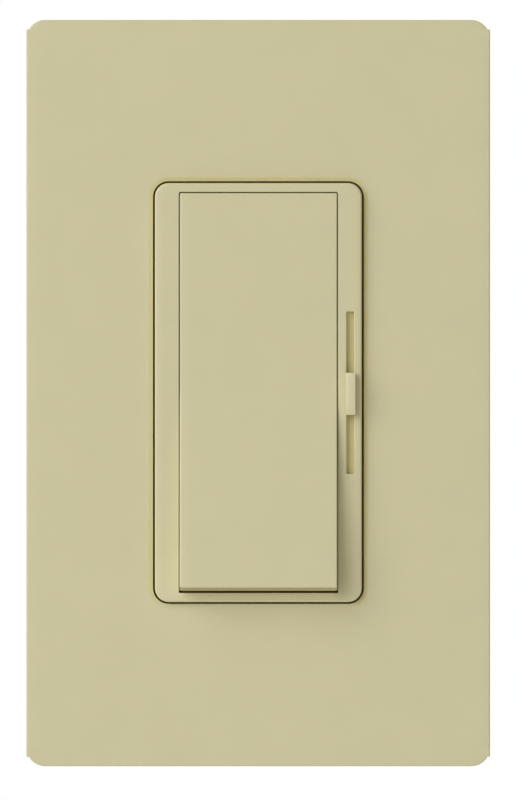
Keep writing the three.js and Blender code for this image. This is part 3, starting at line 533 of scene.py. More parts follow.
def finish_of(name, colour, roughness, metallic=0.0, mottle=0.04, cloud=7.0, spread=0.05,
              grain=0.25, relief=0.003, stretch=(1, 1, 1), wear_and_highlight=None, wear_and_highlight_amount=0.3, wear_and_highlight_radius=0.25,
              coat=0.0, specular=0.5):
    """One procedural finish: cloudy colour, uneven gloss, a fine surface grain and lighter edges,
    worn on most finishes and a painted highlight on ivory_face.
    """
    made, tree, shader = blank_material(name)
    point = place_in_mm(tree)
    grained = place_in_mm(tree, stretch)
    clouds = noise(tree, point, cloud, detail=3.0)
    fine = noise(tree, grained, grain, detail=2.0)
    specks = noise(tree, grained, grain * 4, detail=4.0, roughness=0.6)
    tones = shade(colour, 1 - mottle), shade(colour, 1 + mottle)
    base = mix_colour(tree, ramp(tree, clouds, 0, 1), *tones)
    gloss = ramp(tree, specks, roughness - spread, roughness + spread)
    # Edges tinted towards the wear_and_highlight colour: wear on most finishes, a painted highlight
    # on ivory_face.
    if wear_and_highlight is not None:
        breakup = ramp(tree, noise(tree, point, 1.3, 4.0), 0, wear_and_highlight_amount, 0.35, 0.65)
        mask = edge_mask(tree, wear_and_highlight_radius, breakup)
        base = mix_colour(tree, mask, base, wear_and_highlight)
        polish = combine(tree, "MULTIPLY", mask, EDGE_POLISH)
        gloss = combine(tree, "SUBTRACT", gloss, polish)
    height = combine(tree, "ADD", combine(tree, "MULTIPLY", specks, 0.6), fine)
    bump = add(tree, "Bump", {"Height": height, "Distance": relief * MM})
    tree.links.new(base, shader.inputs["Base Color"])
    tree.links.new(gloss, shader.inputs["Roughness"])
    tree.links.new(bump.outputs["Normal"], shader.inputs["Normal"])
    shader.inputs["Metallic"].default_value = metallic
    shader.inputs["Coat Weight"].default_value = coat
    shader.inputs["Coat Roughness"].default_value = COAT_ROUGHNESS
    shader.inputs["Specular IOR Level"].default_value = specular
    return made


FINISHES = {
    # ivory_face's lighter edge colour is a painted highlight along its edges.
    "ivory_face": dict(
        colour=(0.755, 0.703, 0.452), roughness=0.42, mottle=0.012, cloud=9.0, spread=0.04,
        grain=0.22, relief=0.0012, wear_and_highlight=(0.86, 0.82, 0.62), wear_and_highlight_amount=0.5
    ),
    # Painted shade: a darker, yellower ivory for the opening's lip.
    "ivory_lip_shade": dict(
        colour=(0.735, 0.665, 0.345), roughness=0.42, mottle=0.012, cloud=9.0, spread=0.04,
        grain=0.22, relief=0.0012
    ),
    # Painted shade: a dark brown for the flanges seen down the gaps round the bezel and the paddle.
    "ivory_recess_shade": dict(
        colour=(0.80, 0.60, 0.13), roughness=0.8, mottle=0.05, spread=0.06, grain=0.3, relief=0.004,
        specular=0.0
    ),
    # Painted shade: a near-black brown for the deepest gap, under the paddle.
    "ivory_gap_shade": dict(
        colour=(0.21, 0.165, 0.03), roughness=0.9, mottle=0.08, spread=0.06, grain=0.3,
        relief=0.004, specular=0.0
    ),
    # Painted shade: a darker ivory for the downward slope under the paddle's lower edge.
    "ivory_underside_shade": dict(
        colour=(0.52, 0.46, 0.235), roughness=0.5, mottle=0.02, grain=0.22, relief=0.0012,
        specular=0.3
    ),
    "ivory_inner": dict(
        colour=(0.82, 0.757, 0.432), roughness=0.52, mottle=0.02, relief=0.002, grain=0.3,
        wear_and_highlight=(0.78, 0.73, 0.50), wear_and_highlight_amount=0.25
    ),
    "grey_plastic": dict(
        colour=(0.045, 0.046, 0.05), roughness=0.55, mottle=0.12, spread=0.09, grain=0.35,
        relief=0.012, wear_and_highlight=(0.12, 0.12, 0.125), wear_and_highlight_amount=0.6
    ),
    "black_plastic": dict(
        colour=(0.018, 0.018, 0.02), roughness=0.45, mottle=0.15, relief=0.006,
        wear_and_highlight=(0.06, 0.06, 0.065)
    ),
    "white_plastic": dict(colour=(0.76, 0.75, 0.70), roughness=0.38, mottle=0.02, relief=0.002),
    "aluminium": dict(
        colour=(0.79, 0.80, 0.81), roughness=0.34, metallic=1.0, mottle=0.05, spread=0.09,
        grain=0.16, relief=0.004, stretch=(1, 1, 0.03), wear_and_highlight=(0.92, 0.92, 0.93)
    ),
    "zinc_steel": dict(
        colour=(0.70, 0.71, 0.70), roughness=0.26, metallic=1.0, mottle=0.09, cloud=2.0,
        spread=0.08, grain=0.3, wear_and_highlight=(0.88, 0.88, 0.87), wear_and_highlight_amount=0.5, wear_and_highlight_radius=0.12
    ),
    "tinned_steel": dict(
        colour=(0.66, 0.68, 0.69), roughness=0.33, metallic=1.0, mottle=0.06, spread=0.08,
        grain=0.2, stretch=(0.05, 1, 1)
    ),
    "spring_steel": dict(
        colour=(0.55, 0.56, 0.57), roughness=0.28, metallic=1.0, mottle=0.06, grain=0.1,
        relief=0.002
    ),
    "brass": dict(
        colour=(0.80, 0.58, 0.24), roughness=0.29, metallic=1.0, mottle=0.10, cloud=3.0,
        spread=0.10, grain=0.2, relief=0.004, stretch=(1, 0.06, 1), wear_and_highlight=(0.92, 0.74, 0.38),
        wear_and_highlight_amount=0.5, wear_and_highlight_radius=0.12
    ),
    "contact_silver": dict(
        colour=(0.84, 0.84, 0.81), roughness=0.34, metallic=1.0, mottle=0.10, cloud=1.0,
        spread=0.10, grain=0.15, relief=0.004
    ),
    "copper_wire": dict(
        colour=(0.62, 0.22, 0.075), roughness=0.30, metallic=0.9, mottle=0.12, cloud=1.5,
        spread=0.06, grain=0.2, coat=0.6
    ),
    "ferrite": dict(
        colour=(0.03, 0.032, 0.034), roughness=0.68, mottle=0.25, cloud=1.2, spread=0.10,
        relief=0.02
    ),
    "red_fibre": dict(
        colour=(0.34, 0.065, 0.04), roughness=0.72, mottle=0.18, cloud=1.0, spread=0.08, grain=0.12,
        relief=0.02, stretch=(1, 1, 0.2)
    ),
    "circuit_board": dict(
        colour=(0.42, 0.27, 0.11), roughness=0.5, mottle=0.14, cloud=1.5, spread=0.08, grain=0.12,
        relief=0.006, stretch=(0.2, 1, 1), coat=0.2
    ),
    "mica": dict(
        colour=(0.66, 0.63, 0.53), roughness=0.35, mottle=0.16, cloud=2.0, spread=0.10, grain=0.6,
        relief=0.006, coat=0.4
    ),
    "green_screw": dict(
        colour=(0.06, 0.33, 0.12), roughness=0.30, metallic=0.85, mottle=0.14, cloud=1.5,
        spread=0.08, grain=0.3, relief=0.004, wear_and_highlight=(0.62, 0.66, 0.60), wear_and_highlight_amount=0.8, wear_and_highlight_radius=0.15
    ),
    "film_capacitor": dict(
        colour=(0.50, 0.09, 0.03), roughness=0.35, mottle=0.06, relief=0.004,
        wear_and_highlight=(0.58, 0.16, 0.08)
    ),
    "resistor_body": dict(
        colour=(0.60, 0.42, 0.22), roughness=0.42, mottle=0.08, cloud=1.5, grain=0.2, relief=0.008
    ),
    "diac_body": dict(
        colour=(0.45, 0.10, 0.035), roughness=0.12, mottle=0.1, relief=0.002, coat=1.0
    ),
    "band_brown": dict(colour=(0.10, 0.035, 0.012), roughness=0.4, grain=0.15),
    "band_black": dict(colour=(0.012, 0.012, 0.013), roughness=0.4, grain=0.15),
    "band_gold": dict(colour=(0.60, 0.42, 0.12), roughness=0.35, metallic=0.7, grain=0.15),
}
materials = {}


def material(slot):
    if slot not in materials:
        materials[slot] = finish_of(slot, **FINISHES[slot])
    return materials[slot]


# ---- wallplate


def wallplate():
    x, (front, back), z = spans("wallplate")
    underside = front + PLATE_WALL
    opening_x, _, opening_z = spans("wallplate", lambda p: (
        abs(p.x) < x[1] / 2 and abs(p.z) < 0.7 * z[1] and p.y > underside - 0.1
    ))
    opening_x = shifted(grown(opening_x, -OPENING_SQUEEZE), FRAME_SHIFT[0])
    opening_z = shifted(grown(opening_z, -OPENING_SQUEEZE), FRAME_SHIFT[1])

    outer = inset_rings(x, z, PLATE_CORNER)
    inner = inset_rings(opening_x, opening_z, OPENING_CORNER)
    rim = 0.15
    rows = [outer(rim, back), outer(0, back - rim)]
    rows += [outer(inset, front + CROWN + drop) for inset, drop in quarter(PLATE_EDGE)]
    dome = crown(CROWN, PLATE_CROWN_REACH)
    rows += [outer(PLATE_EDGE + across, front + sag) for across, sag in dome]
    rows.append(inner(-PLATE_LIP, front))
    rows += [inner(-growth, front + LIP_DEPTH + drop) for drop, growth in quarter(0.05, 3)]
    rows += [inner(0, underside), outer(PLATE_WALL + 0.4, underside)]
    rows += [outer(PLATE_WALL, underside + 0.4), outer(PLATE_WALL, back - rim)]
    rows.append(outer(PLATE_WALL - rim, back))
    plate = loft(rows, closed=True)
    stand_for(unite(plate, *clip_teeth(z)), "wallplate", extra=("ivory_lip_shade",))
    # The lip on the left, top and right of the opening, not below it, takes the darker, yellower
    # ivory: painted shade.
    lip_x, lip_z = grown(opening_x, PLATE_LIP), grown(opening_z, PLATE_LIP)
    paint(plate, 1, lambda p: (
        lip_x[0] < p.x < lip_x[1] and opening_z[0] < p.z < lip_z[1] and p.y < front + 0.2
    ))
    return plate


def clip_teeth(z):
    """Four teeth inside the top and bottom walls, which clip behind the adapter plate's edge."""
    tooth_x, tooth_y, _ = spans("wallplate", is_tooth_point)
    width = 5.0
    teeth = []
    for side in (-1, 1):
        across = around(side * (tooth_x[1] - width / 2), width / 2)
        for end in (-1, 1):
            wall = end * (z[1] - PLATE_WALL)
            reach = sorted((wall - end * 1.0, wall + end * 0.5))
            teeth.append(slab(across, tooth_y, reach, corner=0.2, front=0.2, back=0.1))
    return teeth


def is_tooth_point(point):
    inner_wall = limits("wallplate")[1].z - PLATE_WALL
    return inner_wall - 1.2 < abs(point.z) < inner_wall - 0.8


# ---- face bezel


def bezel_places():
    """The bezel's front, then its outline, window and slot as pairs of x and z limits."""
    front = limits("face_bezel")[0].y

    def part(depth, x, z):
        found = spans("face_bezel", lambda p: (
            p.y < front + depth and x[0] < p.x < x[1] and abs(p.z) < z
        ))
        return found[0], found[2]

    return front, part(0.5, (-40, 40), 60), part(0.01, (-13, 13), 32.5), part(0.01, (13, 15.9), 15)


def face_bezel():
    front, (face_x, face_z), (window_x, window_z), (slot_x, slot_z) = bezel_places()
    flange_x, (flange_front, back), flange_z = spans("face_bezel", is_flange_point)
    inner_x, inner_z = grown(face_x, -0.9), grown(face_z, -1.0)
    underside = front + BEZEL_WALL
    face_x, face_z = shifted(face_x, FRAME_SHIFT[0]), shifted(face_z, FRAME_SHIFT[1])
    window_x = (window_x[0] + WINDOW_SHIFT[0], window_x[1])
    window_z = (window_z[0] + WINDOW_SHIFT[1], window_z[1])

    outer = inset_rings(face_x, face_z, BEZEL_CORNER)
    flange = inset_rings(flange_x, flange_z, FLANGE_CORNER)

    def window(growth, y):
        corners = tuple(radius + growth for radius in WINDOW_CORNERS)
        return ring(grown(window_x, growth), grown(window_z, growth), y, corners)

    rows = [flange(0.1, back), flange(0, back - 0.1), flange(0, flange_front + 0.1)]
    rows += [flange(0.1, flange_front), outer(0, flange_front)]
    rows += [outer(inset, front + BEZEL_CROWN + drop) for inset, drop in quarter(BEZEL_EDGE)]
    rows += [outer(BEZEL_EDGE + across, front + sag) for across, sag in crown(BEZEL_CROWN, 0.9)]
    rows += [window(growth, front + drop) for drop, growth in quarter(WINDOW_LIP, 3)]
    rows += [window(0, underside), ring(inner_x, inner_z, underside, 0.5)]
    rows += [ring(inner_x, inner_z, back, 0.5)]
    shell = loft(rows, closed=True)
    carve(shell, flared_cutter(slot_x, slot_z, underside + 1, SLOT_LIP, SLOT_CORNER, front))
    unite(shell, *trunnion_ears(inner_z), *hook_clips())
    stand_for(shell, "face_bezel", extra=("ivory_recess_shade",))
    # The flange's front face, seen down the gap between the bezel and the wallplate, gets the dark
    # brown: painted shade.
    paint(shell, 1, lambda p: abs(p.y - flange_front) < 0.06)
    return shell


def paint(obj, index, test):
    """Gives the faces whose centre, in mm, passes a test another of the piece's materials."""
    for face in obj.data.polygons:
        if test(face.center / MM):
            face.material_index = index


def is_flange_point(point):
    return point.y < -1 and (abs(point.x) > 16.6 or abs(point.z) > 33.6)


def trunnion_ears(inner_z):
    """Two ears at the top of the bezel, each with a slot, open to the back, for a paddle pin."""
    pin_y, pin_z = pivot()
    paddle_half = paddle_span()[1]
    ears = []
    for side in (-1, 1):
        across = sorted((side * (paddle_half + 0.3), side * 15.7))
        ear = slab(across, (-6.4, -3.0), (28.6, inner_z[1] + 0.1), corner=0.2)
        through = grown(across, 1)
        carve(ear, rod_x(PIN_HOLE, through, pin_y, pin_z))
        carve(ear, slab(through, (pin_y, 0), around(pin_z, PIN_HOLE), corner=0.05))
        ears.append(ear)
    return ears


def hook_clips():
    """Four clips that pass through the yoke and hook behind it."""
    (_, hook_x), (_, back), _ = spans("face_bezel", lambda p: p.y > 0.5)
    blade = hook_x - 0.8
    clips = []
    for side in (-1, 1):
        for z in (-CLIP_Z, CLIP_Z):
            outline = [
                (-2.2, blade - 0.7), (back, blade - 0.7), (back, blade), (0.35 * back, hook_x),
                (0.0, hook_x), (0.0, blade), (-2.2, blade),
            ]
            points = [[(side * x, y, z + end) for y, x in outline] for end in (-2.5, 2.5)]
            clips.append(soften(loft(points), 0.08, 2))
    return clips


# ---- paddle


def is_paddle_face(point):
    return point.y < -8


def paddle_span():
    """The paddle's width without its pins and flange."""
    low, high = limits("paddle", is_paddle_face)
    return low.x, high.x


def pivot():
    hinge = next(j for j in frame["joints"] if j["name"] == "paddle_press")
    return hinge["pos_m"][1] / MM, hinge["pos_m"][2] / MM


def paddle_outline(inset, back):
    """Side view, from the back of the lower edge round the front to the top."""
    low, high = limits("paddle", is_paddle_face)
    flush = limits("face_bezel")[0].y + inset
    bottom = low.z + inset
    top = high.z - inset
    slope = atan2(PADDLE_REACH, CREASE_Z - low.z)
    face = flush - (CREASE_Z - bottom - PADDLE_CHAMFER) * tan(slope)
    turned_under = face + PADDLE_CHAMFER * tan(slope + radians(CHAMFER_TURN))
    reach = CREASE_RADIUS * tan(slope / 2)
    before = (flush - reach * sin(slope), CREASE_Z - reach * cos(slope))
    after = CREASE_Z + reach
    points = [(back, bottom), (turned_under, bottom), (face, bottom + PADDLE_CHAMFER), before]
    for part in (0.25, 0.5, 0.75, 1):
        ends, bend = ((1 - part) ** 2, part ** 2), 2 * part * (1 - part)
        points.append((
            ends[0] * before[0] + bend * flush + ends[1] * flush,
            ends[0] * before[1] + bend * CREASE_Z + ends[1] * after,
        ))
    return points + [(flush, top)]


def paddle():
    back = limits("paddle", lambda p: p.z < 0)[1].y
    x = paddle_span()
    pin_y, pin_z = pivot()
    front = limits("face_bezel")[0].y
    web = limits("paddle")[1].y
    top = limits("paddle", is_paddle_face)[1].z
    outline = paddle_outline(0, back)
    (_, bottom), (under_back, _), (under_front, _), *_ = outline
    outline += [(web, top), *arc((web - 0.5, 27.3), 0.5, 0, -72, 4), (back, 25.8)]
    across = (x[0] + PADDLE_SHIFT[0], x[1] + PADDLE_SHIFT[1])
    skin = crowned_prism(
        outline, across, front + 0.1, PADDLE_CROWN, PADDLE_EDGE * 1.2, PADDLE_CROWN_REACH
    )
    soften(skin, PADDLE_EDGE, 4)
    flange_x, flange_y, flange_z = spans("paddle", lambda p: p.y < -6 and abs(p.x) > x[1] + 0.1)
    unite(skin, slab(flange_x, flange_y, flange_z, 0.2, 0.05, 0.05))
    hollow_outline = paddle_outline(PADDLE_WALL, web + 2) + [(web + 2, top - PADDLE_WALL)]
    carve(skin, prism_x(hollow_outline, grown(x, -1.25)))
    ends = [sorted((side * (x[1] - 0.5), side * (x[1] + 1.9))) for side in (-1, 1)]
    parts = [rod_x(PIN_RADIUS, pin_x, pin_y, pin_z, edge=0.15) for pin_x in ends]
    plunger_z = middle(spans("switch_plunger")[2])
    post_end = limits("switch_plunger")[0].y - 0.2
    parts.append(slab(around(0, 2.2), (-10, post_end), around(plunger_z, 2.2), 0.4))
    for z in PADDLE_RIBS:
        parts.append(slab(grown(x, -0.6), (front + 0.7, back - 1), around(z, 0.5), 0.1))
    unite(skin, *parts)
    with edited(skin.data) as bm:
        cut_through(bm, (0, 0, bottom - 0.05), (0, 0, 1))
    stand_for(skin, "paddle", extra=("ivory_recess_shade", "ivory_underside_shade", "ivory_gap_shade"))

    def on_flange(p):
        return abs(p.y - flange_y[0]) < 0.06

    # The flange's front face, seen down the gap round the paddle, gets the dark brown: painted
    # shade.
    paint(skin, 1, on_flange)
    # The slope under the lower edge gets the darker ivory: painted shade.
    paint(skin, 2, lambda p: (
        p.z < bottom + PADDLE_CHAMFER and under_front + 0.15 < p.y < under_back
    ))
    # Below the paddle the flange's front face is darker still: painted shade.
    paint(skin, 3, lambda p: on_flange(p) and p.z < bottom)
    return skin


# ---- slider


def slider_knob():
    """A cap whose face curves down to the left and falls away at its upper and lower ends."""
    x, (front, underside), z = spans("slider_knob", lambda p: p.y < -8.4)
    stem_back = limits("slider_knob")[1].y
    cap = slab(x, (front, underside), z, corner=0.12, front=0.03, back=0.06)
    width = x[1] - x[0]
    ends = ((0, 0), (z[0] + KNOB_END, -0.34), (z[1] - KNOB_END, 0.16), (z[1] - 0.3, 0.45))
    for part in KNOB_STEPS:
        for height, slope in ends:
            touch = (x[1] - part * width, front + KNOB_SAG * part ** 3, height)
            shave(cap, touch, (-3 * KNOB_SAG * part ** 2 / width, -1, slope))
    soften(cap, 0.035, 2, 40)
    stem_x, _, stem_z = spans("slider_knob", lambda p: p.y > -7)
    unite(cap, slab(stem_x, (front + 0.6, stem_back), stem_z, 0.1))
    return stand_for(cap, "slider_knob", angle=9)


def slider_carriage():
    strip_x, (front, _), strip_z = spans("slider_carriage", lambda p: p.y < -6)
    strip = slab(strip_x, (front - STRIP_RISE, front + 0.8), strip_z, 0.3, 0.08, 0.08)
    stem_x, _, stem_z = spans("slider_knob", lambda p: p.y > -7)
    carve(strip, slab(grown(stem_x, 0.15), (front - 1, front + 0.7), grown(stem_z, 0.15), 0.1))
    _, (_, fork_back), fork_z = spans("slider_carriage", lambda p: p.y > -5)
    centre = middle(fork_z)
    for side in (-1, 1):
        prong_z = sorted((centre + side * 1.5, centre + side * 2.6))
        unite(strip, slab((13.5, 15.3), (front + 0.6, fork_back), prong_z, 0.2))
    return stand_for(strip, "slider_carriage")


# ---- adapter plate


def adapter_plate():
    x, (front, back), z = spans("adapter_plate")
    sheet = 1.2
    opening = spans("adapter_plate", lambda p: (
        abs(p.x) < 17.5 and abs(p.z) < 35 and p.y < front + 0.1
    ))
    deep = limits("adapter_plate", lambda p: abs(p.x) < 20 and abs(p.z) < 36)[1].y

    outer = inset_rings(x, z, 2.0, 0.5)
    inner = inset_rings(opening[0], opening[2], 2.6)
    rows = [outer(0.1, back), outer(0, back - 0.1)]
    rows += [outer(inset, front + drop) for inset, drop in quarter(0.35)]
    rows += [inner(-growth, front + drop) for drop, growth in quarter(0.3)]
    rows += [inner(-0.1, deep), inner(-sheet, deep), inner(-sheet, front + sheet)]
    rows += [outer(sheet, front + sheet), outer(sheet, back)]
    plate = loft(rows, closed=True)
    unite(plate, *adapter_ribs(x, front + sheet, deep, opening[0][1]))
    for end in (-1, 1):
        unite(plate, rod_y(3.2, (front + sheet - 0.1, deep), 0, end * PLATE_SCREW_Z))
        carve(plate, countersink(front, end * PLATE_SCREW_Z))
    carve(plate, *tooth_notches(front, z))
    return stand_for(plate, "adapter_plate")


def adapter_ribs(x, start, end, opening):
    ribs = []
    for z in (-20, 20):
        for side in (-1, 1):
            across = sorted((side * (opening + 0.6), side * (x[1] - 0.6)))
            ribs.append(slab(across, (start - 0.1, end), around(z, 0.45), 0.1, 0.02, 0.02))
    return ribs


def countersink(front, z):
    hole = PLATE_SCREW_HOLE
    profile = [(0, front - 0.5), (4.02, front - 0.5), (hole, front + 1.9), (hole, 0), (0, 0)]
    return turned(profile, 0, z, sides=44)


def tooth_notches(front, z):
    notches = []
    for side in (-1, 1):
        for end in (-1, 1):
            reach = sorted((end * (z[1] - 0.7), end * (z[1] + 1)))
            notches.append(slab(around(side * 20, 3.5), (front - 1, 0), reach, 0.3, 0.02, 0.02))
    return notches


# ---- screws


def thread_rows(start, end, radius, pitch, depth):
    """Turned rows that climb with the thread, from its root to its crest and back on every turn."""
    rows = []
    for turn in range(-1, ceil((end - start) / pitch) + 1):
        for part, height in THREAD:

            def place(angle, lead=start + (turn + part) * pitch, height=height):
                y = min(max(lead + pitch * angle / TURN, start), end)
                fade = min(1, (y - start) / pitch, (end - y) / pitch)
                return radius - depth * (1 - fade * height), y

            rows.append(place)
    return rows


def screw(head, length, shank, pitch, slot=0.9, sides=32):
    """A screw along +Y with its head's outer face at y = 0. The head is (radius, y) pairs."""
    head_back = head[-1][1]
    rows = [(0, 0), *head, (shank, head_back + 0.02)]
    rows += thread_rows(head_back + 0.3, length - 0.5 * shank, shank, pitch, THREAD_DEPTH * shank)
    rows += [(0.55 * shank, length), (0, length)]
    body = turned(rows, sides=sides)
    reach = head[0][0] + 2
    return carve(body, slab(around(0, reach), (-1, slot), around(0, slot / 2), 0.1, 0.05, 0.1))


def head_profile(radius, height, dome, edge):
    """A domed head: a shallow crown, a rounded shoulder and a straight rim."""
    top = [(radius * part, dome * part ** 2) for part in (0.3, 0.55, 0.8)]
    shoulder = [(radius - inset, dome + drop) for inset, drop in reversed(quarter(edge, 4))]
    return top + shoulder + [(radius, height)]


def place_screw(obj, node, turned_round=False):
    """Puts a screw made at the origin on its node's axis, with its head where the node's is."""
    x, (front, back), z = spans(node)
    head = back if turned_round else front
    move(obj, (middle(x), head, middle(z)), pi if turned_round else 0)
    return stand_for(obj, node)


def screws():
    for end in ("upper", "lower"):
        flat = [(3.0, 0), (3.25, 0.08), (3.3, 0.25), (1.75, 1.8)]
        place_screw(screw(flat, 9.5, *SCREW_632), f"adapter_screw_{end}")
        pan = head_profile(3.2, 1.8, 0.25, 0.6)
        place_screw(screw(pan, 25.4, *SCREW_632), f"mounting_screw_{end}")
        retainer(end)
    for number in range(1, 5):
        low_head = head_profile(2.3, 1.4, 0.12, 0.4)
        place_screw(screw(low_head, 31, 1.25, 1.0, sides=28), f"housing_screw_{number}", True)
    ground_screw()


def retainer(end):
    node = f"screw_retainer_{end}"
    x, y, z = spans(node)
    washer = slab(x, y, z, corner=1.0, front=0.06, back=0.06)
    return stand_for(carve(washer, rod_y(2.0, grown(y, 1), 0, middle(z))), node)


def ground_screw():
    front, back = spans("ground_screw")[1]
    height, length = 2.6, back - front
    shank, pitch = SCREW_632
    profile = [(0, 0), (2.2, 0), (2.5, 0.18), (2.75, 0.5), (2.75, height), (0, height)]
    head = turned(profile, sides=6)
    flange = turned([(0, height - 0.5), (2.69, height - 0.45), (2.69, height), (0, height)])
    stem = [(0, height - 0.3), (shank, height - 0.3)]
    stem += thread_rows(height, length - 0.2, shank, pitch, THREAD_DEPTH * shank)
    stem += [(1.2, length), (0, length)]
    body = unite(soften(head, 0.1, 2), flange, turned(stem, sides=32))
    carve(body, slab(around(0, 4), (-1, 0.8), around(0, 0.45), 0.1, 0.05, 0.1))
    return place_screw(body, "ground_screw", True)


# ---- yoke


def yoke():
    x, (front, back), z = spans("yoke")
    plate_back = limits("yoke", lambda p: abs(p.z) < 30)[1].y
    plate = slab(x, (front, plate_back), z, corner=3.0, front=0.2, back=0.12)
    through = (front - 1, 1)
    pads = []
    cutters = []
    for end in (-1, 1):
        slot_z = end * BOX_SCREW_Z
        cutters.append(slab(around(0, 3.7), through, around(slot_z, 2.2), 2.15))
        cutters.append(rod_y(PLATE_SCREW_HOLE, through, 0, end * PLATE_SCREW_Z))
        for side in (-1, 1):
            pad_x, pad_y = around(side * 11.5, 3.5), (plate_back - 0.1, back)
            pads.append(slab(pad_x, pad_y, around(slot_z, 4), 0.6, 0.02, 0.12))
            cutters.append(rod_y(1.5, through, side * 17.6, end * 27.6))
            clip = around(side * 16.05, 0.65)
            cutters.append(slab(clip, through, around(end * CLIP_Z, 2.8), 0.3))
            cutters.append(score_line(side * 18.6, front, end))
    cutters.append(rod_y(2.4, through, 0, middle(spans("switch_plunger")[2])))
    cutters.append(rod_y(RIVET_HOLE, through, *RIVET_PLACE))
    cutters.append(rod_y(2.0, through, *GROUND_PLACE))
    lever_x, _, lever_z = spans("pot_wiper", lambda p: p.y < front)
    run = grown(around(middle(lever_z), SLIDER_REACH), 1.8)
    cutters.append(slab(grown(lever_x, 0.5), through, run, 0.9))
    unite(plate, *pads)
    carve(plate, *cutters)
    return stand_for(plate, "yoke")


def score_line(x, front, end):
    """The groove along which a side fin of the heat sink snaps off."""
    return slab(around(x, 0.2), (front - 1, front + 0.25), sorted((end * 33, end * 52)), 0.1)


# ---- paddle spring and plunger


def switch_plunger():
    x, (front, back), z = spans("switch_plunger")
    profile = [(0, front), (2.4, front)]
    profile += [(3.6 - inset, front + drop) for inset, drop in reversed(quarter(0.3, 4))]
    profile += [(3.6, front + 0.8), (3.5, front + 0.9), (2.0, front + 0.9), (2.0, back - 0.6)]
    profile += [(2.0 - inset, back - drop) for inset, drop in quarter(0.5, 4)] + [(0, back)]
    return stand_for(turned(profile, middle(x), middle(z)), "switch_plunger")


def return_spring():
    """A coil spring with closed ends, made at one length, though the real one shortens as the
    plunger goes in.
    """
    x, (front, back), z = spans("paddle_return_spring")
    wire = 0.25
    radius = (x[1] - x[0]) / 2 - wire
    turns = 5.5
    closed = 0.75  # turns at each end that lie almost flat
    lift = 0.16
    path = []
    for k in range(int(turns * 40) + 1):
        turn = k / 40
        rise = min(max((turn - closed) / (turns - 2 * closed), 0), 1)
        y = front + wire + lift * min(turn, closed) / closed
        y += rise * (back - front - 2 * wire - 2 * lift)
        y += lift * max(turn - turns + closed, 0) / closed
        aside, up = radius * cos(TURN * turn), radius * sin(TURN * turn)
        path.append((middle(x) + aside, y, middle(z) + up))
    spring = stand_for(tube(path, wire), "paddle_return_spring")
    seat = limits("yoke")[0].y * MM
    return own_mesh(spring)


# ---- rear housing


def back_housing():
    x, (front, back), z = spans("back_housing")
    wall = 1.6
    outer = inset_rings(x, z, 3.0, 0.4)
    taper = 0.25
    flange = 2.6
    rows = [outer(taper + inset, back - drop) for inset, drop in reversed(quarter(0.8))]
    rim = front + flange
    rows += [outer(0.35, rim + 0.2), outer(0.3, rim), outer(0.05, rim), outer(0, rim - 0.1)]
    rows += [outer(0, front + 0.15), outer(0.15, front)]
    rows += [outer(wall, front), outer(wall, back - 2.2), outer(wall + 0.4, back - 1.8)]
    shell = loft(rows)
    solids = [rod_y(2.9, (front + 0.4, back - 1), px, pz) for px, pz in screw_places()]
    solids += [placed(pocket(x[1]), *place) for place in terminal_places()]
    unite(shell, *solids)
    cutters = [placed(recess(x[1]), *place) for place in terminal_places()]
    for px, pz in screw_places():
        cutters += [rod_y(1.5, (front - 1, back), px, pz), rod_y(2.7, (back - 2, back + 1), px, pz)]
    cutters += housing_marks(back)
    carve(shell, *cutters)
    return stand_for(shell, "back_housing")


def screw_places():
    places = []
    for number in range(1, 5):
        x, _, z = spans(f"housing_screw_{number}")
        places.append((middle(x), middle(z)))
    return places


def terminal_places():
    """Side and height of each terminal."""
    places = []
    for name in ("line", "load", "traveller"):
        x, _, z = spans(f"terminal_screw_{name}")
        places.append((copysign(1, middle(x)), middle(z)))
    return places


def placed(obj, side, z):
    """Turns a body made for the +X side to its terminal's side and height."""
    return move(obj, (0, 0, z), pi if side < 0 else 0, "Y")


def pocket(outer):
    return slab((14.4, outer - 1.0), (12.4, 25.0), around(0, 6.3), 0.4, 0.2, 0.2)


def recess(outer):
    cut = slab((16, outer + 1), (14, 23.4), around(0, 4.7), 0.3, 0.1, 0.1)
    leg = slab((15.9, 17.5), (12, 15), around(0, 1.8), 0.1)
    return unite(cut, rod_x(1.85, (12.8, outer + 0.8), WIRE_Y, 0), leg)


def housing_marks(back):
    """The shallow panel for a label, the strip gauge and the ejector marks on the rear face."""
    panel = slab(around(0, 11), (back - 0.3, back + 1), (-16, 14), 1.0, 0.1, 0.1)
    gauge = slab(around(0, 6), (back - 0.5, back + 1), around(21, 0.9), 0.4, 0.15, 0.1)
    marks = [rod_y(1.6, (back - 0.12, back + 1), side * 8, -24) for side in (-1, 1)]
    return [panel, gauge, *marks]


# ---- terminals


